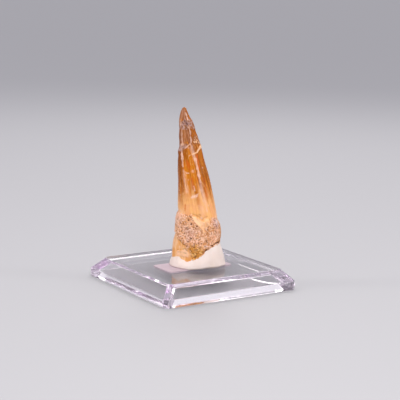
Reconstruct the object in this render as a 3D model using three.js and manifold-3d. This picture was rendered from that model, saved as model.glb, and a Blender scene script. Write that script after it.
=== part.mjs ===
// Fossil spinosaurus tooth held upright by putty on a clear display base.
// Millimetres, +Z up. The origin is the centre of the base's footprint, on the surface that it stands on.

import * as THREE from 'three';
import Module from 'manifold-3d';
import { mergeVertices } from 'three/addons/utils/BufferGeometryUtils.js';
import { ImprovedNoise } from 'three/addons/math/ImprovedNoise.js';

// Clear moulded base: a square with an upright lip, sloping sides, cut corners and a recess underneath
const BASE_SIDE = 50;
const BASE_HEIGHT = 6.4;
const BASE_LIP_HEIGHT = 2.75;
const BASE_SLOPE_INSET = 3.6;
const BASE_CORNER_CUT = 1.4;
const RECESS_DEPTH = 3.1;
const RECESS_RIM_WIDTH = 3.65;
const RECESS_SLOPE_INSET = 3.1;

// White adhesive pad lying on the base
const PAD_LENGTH = 24;
const PAD_WIDTH = 11;
const PAD_THICKNESS = 0.4;
const PAD_CORNER_RADIUS = 0.6;
const PAD_CENTRE = new THREE.Vector2(-1.9, -3.6);
const PAD_GAP = 0.05;
const PAD_TOP = BASE_HEIGHT + PAD_GAP + PAD_THICKNESS;

// Tooth: where its foot stands, which way its broad side faces, and the gap kept round its foot
const TOOTH_AT = new THREE.Vector2(-1.0, -4.8);
const TOOTH_TURN_DEG = -33;
const TOOTH_GAP = 0.3;
const TOOTH_FOOT = PAD_TOP + TOOTH_GAP;
const TOOTH_TIP = 58.6;
const TOOTH_DEPTH_RATIO = 0.76;
const TOOTH_SIDES = 64;
const TOOTH_LEAST_RADIUS = 0.1;

// Outline of the bare tooth on its broad side, foot to tip: height, half width and sideways lean
const TOOTH_OUTLINE = [
  { height: TOOTH_FOOT, half: 8.2, lean: 0 },
  { height: 14, half: 7.9, lean: -0.05 },
  { height: 20, half: 7.12, lean: 0.05 },
  { height: 25.8, half: 6.38, lean: -0.32 },
  { height: 31, half: 5.78, lean: -0.92 },
  { height: 36.3, half: 5.12, lean: -1.57 },
  { height: 41.5, half: 4.22, lean: -2.33 },
  { height: 46, half: 3.6, lean: -2.88 },
  { height: 50, half: 2.85, lean: -3.53 },
  { height: 53.8, half: 2.32, lean: -4.27 },
  { height: 56.3, half: 1.5, lean: -4.75 },
  { height: 58.1, half: 0.8, lean: -4.86 },
  { height: TOOTH_TIP, half: 0, lean: -4.96 },
];

// Rows of points up the tooth: where each stretch ends and how many rows it has
const TOOTH_STRETCHES = [
  { end: 26, rows: 21 },
  { end: 43, rows: 13 },
  { end: 54, rows: 11 },
  { end: TOOTH_TIP, rows: 6 },
];

// Long low ridges of the crown, evenly spaced round it, with hollow facets between them.
// They wind slowly round the tooth, and the first one's angle is given at one height.
const RIDGE_COUNT = 5;
const RIDGE_START_DEG = -52;
const RIDGE_START_HEIGHT = 45;
const RIDGE_TWIST_DEG_PER_MM = 0.9;
const FACET_HOLLOW = 0.06;

// Crust cemented round the foot: its ragged edges, as angle round from the front and height
const CRUST_THICKNESS = 0.5;
const CRUST_EDGE_BLEND = 0.9;
const CRUST_TOP_EDGE = [
  [-180, 24.0], [-130, 25.6], [-90, 24.8], [-45, 24.2], [-20, 24.0], [-6, 23.2],
  [12, 18.8], [34, 22.4], [62, 23.8], [90, 22.2], [120, 23.6], [150, 25.4], [180, 24.0],
];
const CRUST_FOOT_EDGE = [
  [-180, 13], [-130, 17.5], [-90, 16.5], [-60, 14.8], [-35, 12.2], [-14, 9.8],
  [0, 0], [140, 0], [180, 13],
];

// Grains and pits of the crust, as sizes of two layers of noise, which fade out just above the putty
const GRAIN_FADE = 1;
const GRAIN_LAYERS = [
  { size: 2.6, height: 0.42 },
  { size: 1.7, height: 0.3 },
];

// Local chips (negative) and lumps (positive): angle round from the front, height, reach and rise
const CHIPS_AND_LUMPS = [
  { around: -82, height: 47.4, reach: 1.9, rise: -0.42 },
  { around: -88, height: 51.0, reach: 1.5, rise: -0.4 },
  { around: -80, height: 44.9, reach: 1.4, rise: 0.5 },
  { around: 70, height: 50.8, reach: 1.6, rise: -0.3 },
  { around: 35, height: 47.2, reach: 1.4, rise: -0.3 },
  { around: 55, height: 45.6, reach: 1.0, rise: 0.2 },
  { around: 170, height: 45.0, reach: 2.4, rise: -0.4 },
  { around: -10, height: 53.0, reach: 1.6, rise: -0.25 },
  { around: 20, height: 22.4, reach: 1.5, rise: 0.5 },
  { around: 84, height: 21.0, reach: 1.3, rise: 0.45 },
  { around: -8, height: 12.6, reach: 2.0, rise: 0.3 },
];

// Putty collar: its ragged top edge, as angle round from the front and height, and how far it stands out
const PUTTY_FOOT = PAD_TOP + TOOTH_GAP;
const PUTTY_TOP_EDGE = [
  [-180, 11.5], [-130, 10.5], [-90, 9.7], [-55, 10.4], [-28, 9.8], [0, 10.8], [20, 12.0],
  [40, 13.6], [60, 14.6], [90, 14.6], [130, 13.2], [180, 11.5],
];
const PUTTY_FOOT_THICKNESS = 1.15;
const PUTTY_EDGE_THICKNESS = 0.45;
const PUTTY_BULGE = 0.35;
const PUTTY_SIDES = 48;
const PUTTY_ROWS = 6;
const PUTTY_CAP_HEIGHT = 12.5;
const SOCKET_TOP = 17;

// Working values: how close points count as one, and how far a cutting solid reaches past what it cuts
const MERGE_WITHIN = 1e-4;
const CUT_MARGIN = 1;

const wasm = await Module();
wasm.setup();
const noise = new ImprovedNoise();

// Turns a closed three.js geometry into a solid for cutting and joining
function solidOf(geometry) {
  const bare = geometry.clone();
  bare.deleteAttribute('normal');
  bare.deleteAttribute('uv');
  const merged = mergeVertices(bare, MERGE_WITHIN);
  return new wasm.Manifold(new wasm.Mesh({
    numProp: 3,
    vertProperties: new Float32Array(merged.attributes.position.array),
    triVerts: new Uint32Array(merged.index.array),
  }));
}

// Turns a solid back into a three.js geometry
function geometryOf(solid) {
  const mesh = solid.getMesh();
  const geometry = new THREE.BufferGeometry();
  geometry.setAttribute('position', new THREE.BufferAttribute(new Float32Array(mesh.vertProperties), 3));
  geometry.setIndex(new THREE.BufferAttribute(new Uint32Array(mesh.triVerts), 1));
  geometry.computeVertexNormals();
  return geometry;
}

// A square solid turned about Z from a profile of half widths and heights
function squareLathe(profile, turn) {
  const points = profile.map(([half, height]) => new THREE.Vector2(half * Math.SQRT2, height));
  const geometry = new THREE.LatheGeometry(points, 4, Math.PI / 4 + turn);
  return geometry.rotateX(Math.PI / 2);
}

// A closed skin of rows of points about Z, drawn in to the axis at both ends, each point set by `place`
function skinOf(rows, sides, place) {
  const last = rows.length - 1;
  const profile = rows.map((row, index) => new THREE.Vector2(index === 0 || index === last ? 0 : 1, row));
  const lathe = new THREE.LatheGeometry(profile, sides).rotateX(Math.PI / 2);
  lathe.deleteAttribute('normal');
  lathe.deleteAttribute('uv');
  const skin = mergeVertices(lathe, MERGE_WITHIN);
  const position = skin.attributes.position;
  const point = new THREE.Vector3();
  for (let index = 0; index < position.count; index += 1) {
    point.fromBufferAttribute(position, index);
    const onAxis = Math.hypot(point.x, point.y) < MERGE_WITHIN;
    place(point, Math.atan2(point.x, -point.y), onAxis);
    position.setXYZ(index, point.x, point.y, point.z);
  }
  skin.computeVertexNormals();
  return skin;
}

// Height of a ragged edge at an angle round from the front, in radians
function edgeHeight(edge, around) {
  const degrees = THREE.MathUtils.radToDeg(around);
  const next = Math.max(1, edge.findIndex(([angle]) => angle >= degrees));
  const [angle0, height0] = edge[next - 1];
  const [angle1, height1] = edge[next];
  return THREE.MathUtils.mapLinear(degrees, angle0, angle1, height0, height1);
}

const outline = new THREE.CubicInterpolant(
  TOOTH_OUTLINE.map(({ height }) => height),
  TOOTH_OUTLINE.flatMap(({ half, lean }) => [half, lean]),
  2,
);

// Half width and lean of the bare tooth at a height
function outlineAt(height) {
  const [half, lean] = outline.evaluate(THREE.MathUtils.clamp(height, TOOTH_FOOT, TOOTH_TIP));
  return { half: Math.max(half, 0), lean };
}

// Radius of the bare oval tooth, with its facets, round from the front
function crownRadius(around, height) {
  const { half } = outlineAt(height);
  const oval = TOOTH_DEPTH_RATIO / Math.hypot(TOOTH_DEPTH_RATIO * Math.sin(around), Math.cos(around));
  const ridgeDeg = RIDGE_START_DEG + RIDGE_TWIST_DEG_PER_MM * (RIDGE_START_HEIGHT - height);
  const phase = RIDGE_COUNT * (around - THREE.MathUtils.degToRad(ridgeDeg));
  const hollow = FACET_HOLLOW * Math.abs(Math.sin(phase / 2));
  return half * oval * (1 - hollow);
}

// How much of the crust covers a place: 0 on bare tooth, 1 well inside the crust
function crustCover(around, height) {
  const below = edgeHeight(CRUST_TOP_EDGE, around) - height;
  const above = height - edgeHeight(CRUST_FOOT_EDGE, around);
  return THREE.MathUtils.smoothstep(Math.min(below, above), 0, CRUST_EDGE_BLEND);
}

// Smooth radius of the tooth with its crust, without grains or chips
function smoothRadius(around, height) {
  return crownRadius(around, height) + CRUST_THICKNESS * crustCover(around, height);
}

// A place on the tooth's surface, for a radius round the leaning middle line
function placeOn(point, around, radius) {
  const { lean } = outlineAt(point.z);
  point.x = lean + radius * Math.sin(around);
  point.y = -radius * Math.cos(around);
}

// Grains and pits of the crust at a point
function grainAt(point) {
  return GRAIN_LAYERS.reduce((sum, { size, height }) => (
    sum + height * noise.noise(point.x / size, point.y / size, point.z / size)
  ), 0);
}

// Chips and lumps at a place on a surface of the given radius
function chipAt(around, height, radius) {
  return CHIPS_AND_LUMPS.reduce((sum, chip) => {
    const turn = Math.abs(around - THREE.MathUtils.degToRad(chip.around));
    const sideways = Math.min(turn, 2 * Math.PI - turn) * radius;
    const distance = Math.hypot(sideways, height - chip.height);
    return sum + chip.rise * (1 - THREE.MathUtils.smoothstep(distance, 0, chip.reach));
  }, 0);
}

// Radius of the finished tooth: its grains and chips fade out where the putty covers it
function toothRadius(around, height) {
  const smooth = smoothRadius(around, height);
  const clear = THREE.MathUtils.smoothstep(height - edgeHeight(PUTTY_TOP_EDGE, around), 0, GRAIN_FADE);
  const point = new THREE.Vector3(0, 0, height);
  placeOn(point, around, smooth);
  const rough = grainAt(point) * crustCover(around, height) + chipAt(around, height, smooth);
  return Math.max(smooth + clear * rough, TOOTH_LEAST_RADIUS);
}

// Evenly spaced rows up the tooth, foot to tip, with a closing row on the axis at each end
function toothRows() {
  const rows = [TOOTH_FOOT, TOOTH_FOOT];
  let start = TOOTH_FOOT;
  for (const { end, rows: count } of TOOTH_STRETCHES) {
    for (let row = 1; row <= count; row += 1) {
      rows.push(start + (end - start) * row / count);
    }
    start = end;
  }
  return rows;
}

function toothGeometry() {
  return skinOf(toothRows(), TOOTH_SIDES, (point, around, onAxis) => {
    placeOn(point, around, onAxis ? 0 : toothRadius(around, point.z));
  });
}

// The tooth's foot swollen by the gap, reaching below and above the putty that it cuts
function socketGeometry() {
  const low = PUTTY_FOOT - CUT_MARGIN;
  const rows = [low, low];
  for (let height = PUTTY_FOOT; height < SOCKET_TOP; height += 1) {
    rows.push(height);
  }
  rows.push(SOCKET_TOP, SOCKET_TOP);
  return skinOf(rows, PUTTY_SIDES, (point, around, onAxis) => {
    placeOn(point, around, onAxis ? 0 : smoothRadius(around, point.z) + TOOTH_GAP);
  });
}

// The putty's outside, from its foot up to its ragged edge on the tooth, closed across the tooth
function puttyGeometry() {
  const shares = Array.from({ length: PUTTY_ROWS + 1 }, (_, row) => row / PUTTY_ROWS);
  const rows = [0, ...shares, 1];
  const outside = skinOf(rows, PUTTY_SIDES, (point, around, onAxis) => {
    const share = point.z;
    const top = onAxis ? PUTTY_CAP_HEIGHT : edgeHeight(PUTTY_TOP_EDGE, around);
    point.z = THREE.MathUtils.lerp(PUTTY_FOOT, top, share);
    const thickness = THREE.MathUtils.lerp(PUTTY_FOOT_THICKNESS, PUTTY_EDGE_THICKNESS, share)
      + PUTTY_BULGE * Math.sin(Math.PI * share);
    placeOn(point, around, onAxis ? 0 : smoothRadius(around, point.z) + thickness);
  });
  return geometryOf(solidOf(outside).subtract(solidOf(socketGeometry())));
}

// The base's square body with its recess, trimmed at the corners by a second square turned half-way round
function baseGeometry() {
  const half = BASE_SIDE / 2;
  const topHalf = half - BASE_SLOPE_INSET;
  const mouthHalf = half - RECESS_RIM_WIDTH;
  const body = squareLathe([
    [0, RECESS_DEPTH],
    [mouthHalf - RECESS_SLOPE_INSET, RECESS_DEPTH],
    [mouthHalf, 0],
    [half, 0],
    [half, BASE_LIP_HEIGHT],
    [topHalf, BASE_HEIGHT],
    [0, BASE_HEIGHT],
  ], 0);
  const cornerCut = BASE_CORNER_CUT / Math.SQRT2;
  const trim = squareLathe([
    [0, -CUT_MARGIN],
    [half * Math.SQRT2 - cornerCut, -CUT_MARGIN],
    [half * Math.SQRT2 - cornerCut, BASE_LIP_HEIGHT],
    [topHalf * Math.SQRT2 - cornerCut, BASE_HEIGHT],
    [0, BASE_HEIGHT + CUT_MARGIN],
  ], Math.PI / 4);
  return geometryOf(solidOf(body).intersect(solidOf(trim)));
}

// The pad: a thin rectangle with round corners
function padGeometry() {
  const x = PAD_LENGTH / 2;
  const y = PAD_WIDTH / 2;
  const r = PAD_CORNER_RADIUS;
  const shape = new THREE.Shape();
  shape.absarc(x - r, y - r, r, 0, Math.PI / 2);
  shape.absarc(r - x, y - r, r, Math.PI / 2, Math.PI);
  shape.absarc(r - x, r - y, r, Math.PI, 1.5 * Math.PI);
  shape.absarc(x - r, r - y, r, 1.5 * Math.PI, 2 * Math.PI);
  return new THREE.ExtrudeGeometry(shape, { depth: PAD_THICKNESS, bevelEnabled: false, curveSegments: 5 });
}

const fossil = new THREE.MeshStandardMaterial({ color: 0xc98a45, roughness: 0.45, metalness: 0 });
const puttyWhite = new THREE.MeshStandardMaterial({ color: 0xe8dfd4, roughness: 0.8, metalness: 0 });
const padWhite = new THREE.MeshStandardMaterial({ color: 0xe4e0ea, roughness: 0.7, metalness: 0 });
const clearPlastic = new THREE.MeshStandardMaterial({
  color: 0xe9e9f2, roughness: 0.08, metalness: 0, transparent: true, opacity: 0.35,
});

function named(name, geometry, material) {
  const mesh = new THREE.Mesh(geometry, material);
  mesh.name = name;
  return mesh;
}

const base = named('base', baseGeometry(), clearPlastic);
const pad = named('pad', padGeometry(), padWhite);
pad.position.set(PAD_CENTRE.x, PAD_CENTRE.y, BASE_HEIGHT + PAD_GAP);

const standing = new THREE.Group();
standing.position.set(TOOTH_AT.x, TOOTH_AT.y, 0);
standing.rotation.z = THREE.MathUtils.degToRad(TOOTH_TURN_DEG);
standing.add(named('putty', puttyGeometry(), puttyWhite));
standing.add(named('tooth', toothGeometry(), fossil));

const specimen = new THREE.Group();
specimen.add(base, pad, standing);

export default specimen;
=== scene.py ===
"""Looks of a fossil spinosaurus tooth that stands in putty on a clear display base.

Sizes are in millimetres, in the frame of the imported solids, and each mesh is scaled to metres when it is
finished. A place on the tooth is an angle round from its front, in degrees, and a height above the floor.
"""

import logging
import math
from dataclasses import dataclass
from enum import Enum

import bmesh
import bpy
import numpy as np
from mathutils import Matrix, Vector, noise


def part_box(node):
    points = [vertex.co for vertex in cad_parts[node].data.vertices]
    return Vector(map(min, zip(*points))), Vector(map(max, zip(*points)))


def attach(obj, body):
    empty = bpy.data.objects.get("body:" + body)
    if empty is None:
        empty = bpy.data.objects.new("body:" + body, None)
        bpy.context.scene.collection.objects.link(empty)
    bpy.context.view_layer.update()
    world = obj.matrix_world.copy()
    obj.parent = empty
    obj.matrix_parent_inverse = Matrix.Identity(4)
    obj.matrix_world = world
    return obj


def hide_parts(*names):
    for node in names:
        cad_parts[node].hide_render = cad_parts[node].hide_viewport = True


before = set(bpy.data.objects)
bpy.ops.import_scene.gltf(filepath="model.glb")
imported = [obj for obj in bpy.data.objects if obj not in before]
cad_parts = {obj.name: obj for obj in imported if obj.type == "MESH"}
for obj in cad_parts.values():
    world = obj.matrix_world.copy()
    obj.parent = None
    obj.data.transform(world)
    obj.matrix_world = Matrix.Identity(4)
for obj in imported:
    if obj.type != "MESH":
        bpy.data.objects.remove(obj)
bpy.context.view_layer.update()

MM = 0.001
BODY = "root"
PHOTO_SIDE = 400
MERGE_WITHIN = 1e-5
NO_LENGTH = 1e-9

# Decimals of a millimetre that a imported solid's heights are read to
PACKED_DECIMALS = 3

# Where a Mix node keeps the first of its two colours or numbers, and its results
MIX_COLOURS, MIX_COLOUR_OUT = 6, 2
MIX_NUMBERS, MIX_NUMBER_OUT = 2, 0

# Waves of a border in the width of one cell
WAVES_IN_CELL = 1.5

# Pits: how far apart two cells' chances are read, the least radius and its range, the radius that stands for
# no pit, and the share of the radius that is floor
CHANCE_SPREAD = 17.3
PIT_RADIUS, PIT_RADIUS_RANGE = 0.24, 0.3
NO_PIT = 0.001
PIT_FLOOR = 0.4

# A place on the tooth, or an angle and its value in a table
Place = tuple[float, float]

# Where something starts, and where it is complete
Span = tuple[float, float]

# Lumps of a pattern in each unit round the tooth, and along it
Fineness = tuple[float, float]

# Where a pattern's cover starts, where it is full, and how much it then covers
Cover = tuple[float, float, float]

# Depth, size and seed of a layer of noise
Layer = tuple[float, float, float]

Colour = tuple[float, float, float]
Socket = bpy.types.NodeSocket

log = logging.getLogger("specimen")


class Mark(Enum):
    """What covers a place on the tooth. The value names the mesh attribute that holds its cover."""

    CRUST = "crust"
    ROOT = "root"
    PIT = "pits"
    GOLD = "golden_crystals"
    # Pale streaks and flecks; along the ridges partly wear and partly painted highlight, and one painted
    # glint
    PALE = "pale_streaks"
    CREAM = "cream_fill"
    WORN = "worn_enamel"
    RED = "red_stain"
    # Deeper amber, and painted shade on the darker facets and along the top of the cream flake
    DEEP_AND_SHADE = "deep_amber_and_shade"
    PEACH = "peach_foot"
    # Hairline cracks, and painted shadow lines beside the knob, under the crust's left edge and where the
    # crust meets the putty
    CRACK_AND_SHADOW = "cracks_and_shadow_lines"
    PURPLE = "purple_specks"
    # Rusty sand and patches, and orange painted shade round the knob's top and right
    RUST = "rusty_edges_and_knob_shade"
    CHALK = "chalky_lumps"


FLOW = "along_the_tooth"


def packed_heights(node: str) -> tuple[float, float]:
    """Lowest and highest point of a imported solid, to a micron."""
    low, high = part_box(node)
    return round(low.z / MM, PACKED_DECIMALS), round(high.z / MM, PACKED_DECIMALS)


def smoothstep(value: np.ndarray, low: np.ndarray | float, high: np.ndarray | float) -> np.ndarray:
    """Eases a value from 0 at `low` to 1 at `high`.

    Args:
        value: The values to ease.
        low: Where the result is 0.
        high: Where the result is 1. It may lie below `low`.

    Returns:
        The eased values, from 0 to 1.
    """
    share = np.clip((value - low) / (high - low), 0, 1)
    return share * share * (3 - 2 * share)


def turned(around: np.ndarray, start: float) -> np.ndarray:
    """Angles measured from `start`, in degrees, from -180 to 180."""
    return (around - start + 180) % 360 - 180


def curve_through(at: np.ndarray, knots: np.ndarray, values: np.ndarray) -> np.ndarray:
    """Follows a smooth curve through points, with each point's slope taken from its neighbours.

    Args:
        at: Where to read the curve.
        knots: The points' places, rising.
        values: The points' values.

    Returns:
        The curve's values.
    """
    last = len(knots) - 1
    before = np.maximum(np.arange(last + 1) - 1, 0)
    after = np.minimum(np.arange(last + 1) + 1, last)
    slopes = (values[after] - values[before]) / (knots[after] - knots[before])
    left = np.clip(np.searchsorted(knots, at) - 1, 0, last - 1)
    span = knots[left + 1] - knots[left]
    share = np.clip((at - knots[left]) / span, 0, 1)
    rise = values[left + 1] - values[left]
    start_pull = slopes[left] * span - rise
    end_pull = rise - slopes[left + 1] * span
    bend = share * (1 - share) * ((1 - share) * start_pull + share * end_pull)
    return values[left] + share * rise + bend


def noise_at(points: np.ndarray, size: float, seed: float = 0.0) -> np.ndarray:
    """Smooth noise over points.

    Args:
        points: Rows of three coordinates.
        size: Size of the noise's lumps, in the points' unit.
        seed: Shifts the noise, so that two layers differ.

    Returns:
        Values from about -1 to 1.
    """
    shift = Vector((seed, 2 * seed, 3 * seed))
    return np.array([noise.noise(Vector(point) / size + shift) for point in points])


def layers_at(points: np.ndarray, layers: tuple[Layer, ...]) -> np.ndarray:
    """Layers of noise added up."""
    return sum(depth * noise_at(points, size, seed) for depth, size, seed in layers)


def table_at(around: np.ndarray, table: tuple[Place, ...]) -> np.ndarray:
    """A table's values at angles, with straight lines between its rows."""
    return np.interp(around, *np.array(table).T)


def cells_at(points: np.ndarray, size: float) -> np.ndarray:
    """How near each point is to the middle of its grain, for grains of about one size.

    Args:
        points: Rows of three coordinates.
        size: Distance between neighbouring grains.

    Returns:
        Values from 1 in the middle of a grain to about 0 between grains.
    """
    nearest = [noise.voronoi(Vector(point) / size)[0][0] for point in points]
    return 1 - np.minimum(np.array(nearest), 1)


def pits_at(points: np.ndarray, size: float, share: float) -> np.ndarray:
    """Round pits, one in the middle of some of the cells that fill space.

    Args:
        points: Rows of three coordinates.
        size: Distance between the middles of neighbouring cells.
        share: How many of the cells have a pit, from 0 to 1.

    Returns:
        Values from 0 outside the pits to 1 in their middles.
    """
    found = [noise.voronoi(Vector(point) / size) for point in points]
    distance = np.array([distances[0] for distances, _ in found])
    chance = np.array([0.5 + 0.5 * noise.cell(middles[0] * CHANCE_SPREAD) for _, middles in found])
    reach = np.where(chance < share, PIT_RADIUS + PIT_RADIUS_RANGE * chance / share, NO_PIT)
    return smoothstep(distance, reach, PIT_FLOOR * reach)


@dataclass(frozen=True)
class Points:
    """Points on the tooth.

    Attributes:
        around: Angles round from the front, in degrees.
        height: Heights.
        radius: Distances from the tooth's middle line.
    """

    around: np.ndarray
    height: np.ndarray
    radius: np.ndarray

    def across(self, angle: float) -> np.ndarray:
        """How far each point is sideways from an angle."""
        return np.radians(turned(self.around, angle)) * self.radius


@dataclass(frozen=True)
class Stroke:
    """A mark drawn along a line on the tooth, or a round spot where the line is one place.

    Attributes:
        kind: What the mark is.
        path: Places that the line passes through.
        half_width: Half the mark's width, at places spread evenly along the line.
        soft: Width of the mark's fading edge.
        strength: Cover in the middle of the mark.
        rise: How far the mark stands out of the surface, or is sunk in it if below 0.
        ragged: How far the mark's edge wanders.
    """

    kind: Mark
    path: tuple[Place, ...]
    half_width: tuple[float, ...]
    soft: float = 0.2
    strength: float = 1.0
    rise: float = 0.0
    ragged: float = 0.25

    def reach(self, at: Points) -> np.ndarray:
        """Distance of each point from the mark's edge, below 0 inside it.

        Args:
            at: The points.

        Returns:
            The distances.
        """
        nearest = np.full(len(at.height), np.inf)
        stations = np.linspace(0, 1, len(self.half_width))
        steps = max(len(self.path) - 1, 1)
        for step in range(steps):
            start, end = self.path[step], self.path[min(step + 1, len(self.path) - 1)]
            across, up = at.across(start[0]), at.height - start[1]
            run, climb = np.radians(end[0] - start[0]) * at.radius, end[1] - start[1]
            share = np.clip((across * run + up * climb) / np.maximum(run**2 + climb**2, NO_LENGTH), 0, 1)
            width = np.interp((step + share) / steps, stations, self.half_width)
            nearest = np.minimum(nearest, np.hypot(across - share * run, up - share * climb) - width)
        return nearest


@dataclass(frozen=True)
class Patch:
    """A mark that fills an outline on the tooth.

    Attributes:
        kind: What the mark is.
        corners: The outline's corners, in order.
        soft: Width of the mark's fading edge.
        strength: Cover in the middle of the mark.
        rise: How far the mark stands out of the surface, or is sunk in it if below 0.
        ragged: How far the mark's edge wanders.
    """

    kind: Mark
    corners: tuple[Place, ...]
    soft: float = 0.3
    strength: float = 1.0
    rise: float = 0.0
    ragged: float = 0.4

    def reach(self, at: Points) -> np.ndarray:
        """Distance of each point from the outline, below 0 inside it.

        Args:
            at: The points.

        Returns:
            The distances.
        """
        rim = Stroke(self.kind, (*self.corners, self.corners[0]), (0.0,))
        distance = rim.reach(at)
        inside = np.zeros(len(at.height), bool)
        for start, end in zip(self.corners, self.corners[1:] + self.corners[:1]):
            if start[1] == end[1]:
                continue
            crosses = (start[1] > at.height) != (end[1] > at.height)
            edge = start[0] + (end[0] - start[0]) * (at.height - start[1]) / (end[1] - start[1])
            inside ^= crosses & (turned(at.around, 0) < edge)
        return np.where(inside, -distance, distance)


# The marks that make up one feature of the tooth
Marks = tuple[Stroke | Patch, ...]


class Graph:
    """Adds and joins the nodes of one material or node group."""

    def __init__(self, tree: bpy.types.NodeTree) -> None:
        """Starts on a node tree."""
        self.tree = tree

    def node(self, kind: str, **settings: object) -> bpy.types.Node:
        """Adds a node.

        Args:
            kind: The node's type name.
            settings: The node's own properties.

        Returns:
            The node.
        """
        made = self.tree.nodes.new(kind)
        for name, value in settings.items():
            setattr(made, name, value)
        return made

    def feed(self, target: Socket, source: Socket | float | tuple[float, ...]) -> None:
        """Links an input to a socket, or sets the input's own value.

        Args:
            target: The input.
            source: A socket, a number, a vector or a colour.
        """
        if isinstance(source, Socket):
            self.tree.links.new(source, target)
        elif target.type == "RGBA":
            target.default_value = (*source, 1.0)
        else:
            target.default_value = source

    def fill(self, made: bpy.types.Node, **sources: Socket | float | tuple[float, ...]) -> bpy.types.Node:
        """Feeds a node's inputs.

        Args:
            made: The node.
            sources: What feeds each input, by the input's name with underscores for spaces.

        Returns:
            The node.
        """
        for name, source in sources.items():
            self.feed(made.inputs[name.replace("_", " ")], source)
        return made

    def mask(self, mark: Mark) -> Socket:
        """The cover of one kind of mark."""
        return self.node("ShaderNodeAttribute", attribute_name=mark.value).outputs["Fac"]

    def flow(self) -> Socket:
        """Coordinates that follow the tooth's length: sine and cosine of the angle, and height."""
        return self.node("ShaderNodeAttribute", attribute_name=FLOW).outputs["Vector"]

    def place(self) -> Socket:
        """The piece's own coordinates, in metres."""
        return self.node("ShaderNodeTexCoord").outputs["Object"]

    def stretch(self, vector: Socket, scale: tuple[float, float, float]) -> Socket:
        """Scales a vector along its axes."""
        return self.fill(self.node("ShaderNodeMapping"), Vector=vector, Scale=scale).outputs["Vector"]

    def noise(self, vector: Socket, scale: Socket | float, detail: float = 2.0) -> Socket:
        """Soft noise from 0 to 1, with `scale` lumps in each unit and `detail` finer layers."""
        made = self.node("ShaderNodeTexNoise")
        return self.fill(made, Vector=vector, Scale=scale, Detail=detail).outputs[0]

    def streaks(self, fineness: Fineness, detail: float = 3.0) -> Socket:
        """Noise drawn out along the tooth, whose fineness is given round the tooth and along it."""
        across, along = fineness
        return self.noise(self.stretch(self.flow(), (across, across, along)), 1.0, detail)

    def cells(self, scale: float, shake: float) -> bpy.types.Node:
        """A pattern of cells with wavy borders, such as grains packed together.

        Args:
            scale: Cells in each metre.
            shake: How far the borders wave, in metres.

        Returns:
            The node, with outputs Distance and Color.
        """
        waves = self.fill(self.node("ShaderNodeTexNoise"), Vector=self.place(), Scale=WAVES_IN_CELL * scale)
        moved = self.node("ShaderNodeVectorMath", operation="MULTIPLY_ADD")
        sources = (waves.outputs["Color"], (shake, shake, shake), self.place())
        for target, source in zip(moved.inputs, sources):
            self.feed(target, source)
        return self.fill(self.node("ShaderNodeTexVoronoi"), Vector=moved.outputs["Vector"], Scale=scale)

    def ramp(self, value: Socket, low: float, high: float, least: float = 0.0, most: float = 1.0) -> Socket:
        """Eases a value from one range to another.

        Args:
            value: The value.
            low: Where the result is `least`.
            high: Where the result is `most`. It may lie below `low`.
            least: The result at `low`.
            most: The result at `high`.

        Returns:
            The eased value.
        """
        made = self.node("ShaderNodeMapRange", interpolation_type="SMOOTHSTEP")
        self.fill(made, Value=value, From_Min=low, From_Max=high, To_Min=least, To_Max=most)
        return made.outputs["Result"]

    def maths(self, operation: str, first: Socket | float, second: Socket | float) -> Socket:
        """Joins two numbers.

        Args:
            operation: The Math node's operation.
            first: The first number.
            second: The second number.

        Returns:
            The result.
        """
        made = self.node("ShaderNodeMath", operation=operation)
        self.feed(made.inputs[0], first)
        self.feed(made.inputs[1], second)
        return made.outputs[0]

    def mix(self, made: bpy.types.Node, first: int,
            sources: tuple[Socket | float | Colour, ...]) -> bpy.types.Node:
        """Feeds a Mix node.

        Args:
            made: The node.
            first: Number of the input for what lies under.
            sources: How much of the upper one shows, what lies under, and what lies over.

        Returns:
            The node.
        """
        for index, source in zip((0, first, first + 1), sources):
            self.feed(made.inputs[index], source)
        return made

    def tint(self, share: Socket, under: Socket | Colour, over: Socket | Colour) -> Socket:
        """Lays a share of the colour `over` on the colour `under`."""
        made = self.node("ShaderNodeMix", data_type="RGBA")
        return self.mix(made, MIX_COLOURS, (share, under, over)).outputs[MIX_COLOUR_OUT]

    def blend(self, share: Socket, under: Socket | float, over: Socket | float) -> Socket:
        """Goes a share of the way from the number `under` to the number `over`."""
        made = self.node("ShaderNodeMix", data_type="FLOAT")
        return self.mix(made, MIX_NUMBERS, (share, under, over)).outputs[MIX_NUMBER_OUT]

    def lay(self, under: Socket | Colour, over: Socket | Colour, pattern: Socket, cover: Cover) -> Socket:
        """Lays a colour over another where a pattern has it."""
        start, full, most = cover
        return self.tint(self.ramp(pattern, start, full, 0.0, most), under, over)

    def paint(self, under: Socket | Colour, mark: Mark, over: Socket | Colour) -> Socket:
        """Lays a colour over another where a mark covers the tooth."""
        return self.tint(self.mask(mark), under, over)

    def bump(self, height: Socket, depth: float, strength: float) -> Socket:
        """A normal from a height from 0 to 1, of which 1 measures `depth` metres."""
        made = self.node("ShaderNodeBump")
        return self.fill(made, Height=height, Distance=depth, Strength=strength).outputs["Normal"]

    def group(self, tree: bpy.types.NodeTree, **sources: Socket | float) -> bpy.types.Node:
        """Places a node group and feeds its inputs."""
        return self.fill(self.node("ShaderNodeGroup", node_tree=tree), **sources)


def new_group(name: str, inputs: tuple[tuple[str, str], ...], outputs: tuple[str, ...]) -> Graph:
    """Starts a shader node group.

    Args:
        name: The group's name.
        inputs: Name and kind of each input.
        outputs: Names of the outputs, which are numbers.

    Returns:
        The group's graph, with an input and an output node.
    """
    tree = bpy.data.node_groups.new(name, "ShaderNodeTree")
    for title, kind in inputs:
        tree.interface.new_socket(title, in_out="INPUT", socket_type=f"NodeSocket{kind}")
    for title in outputs:
        tree.interface.new_socket(title, in_out="OUTPUT", socket_type="NodeSocketFloat")
    graph = Graph(tree)
    graph.node("NodeGroupInput", name="in")
    graph.node("NodeGroupOutput", name="out")
    return graph


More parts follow.
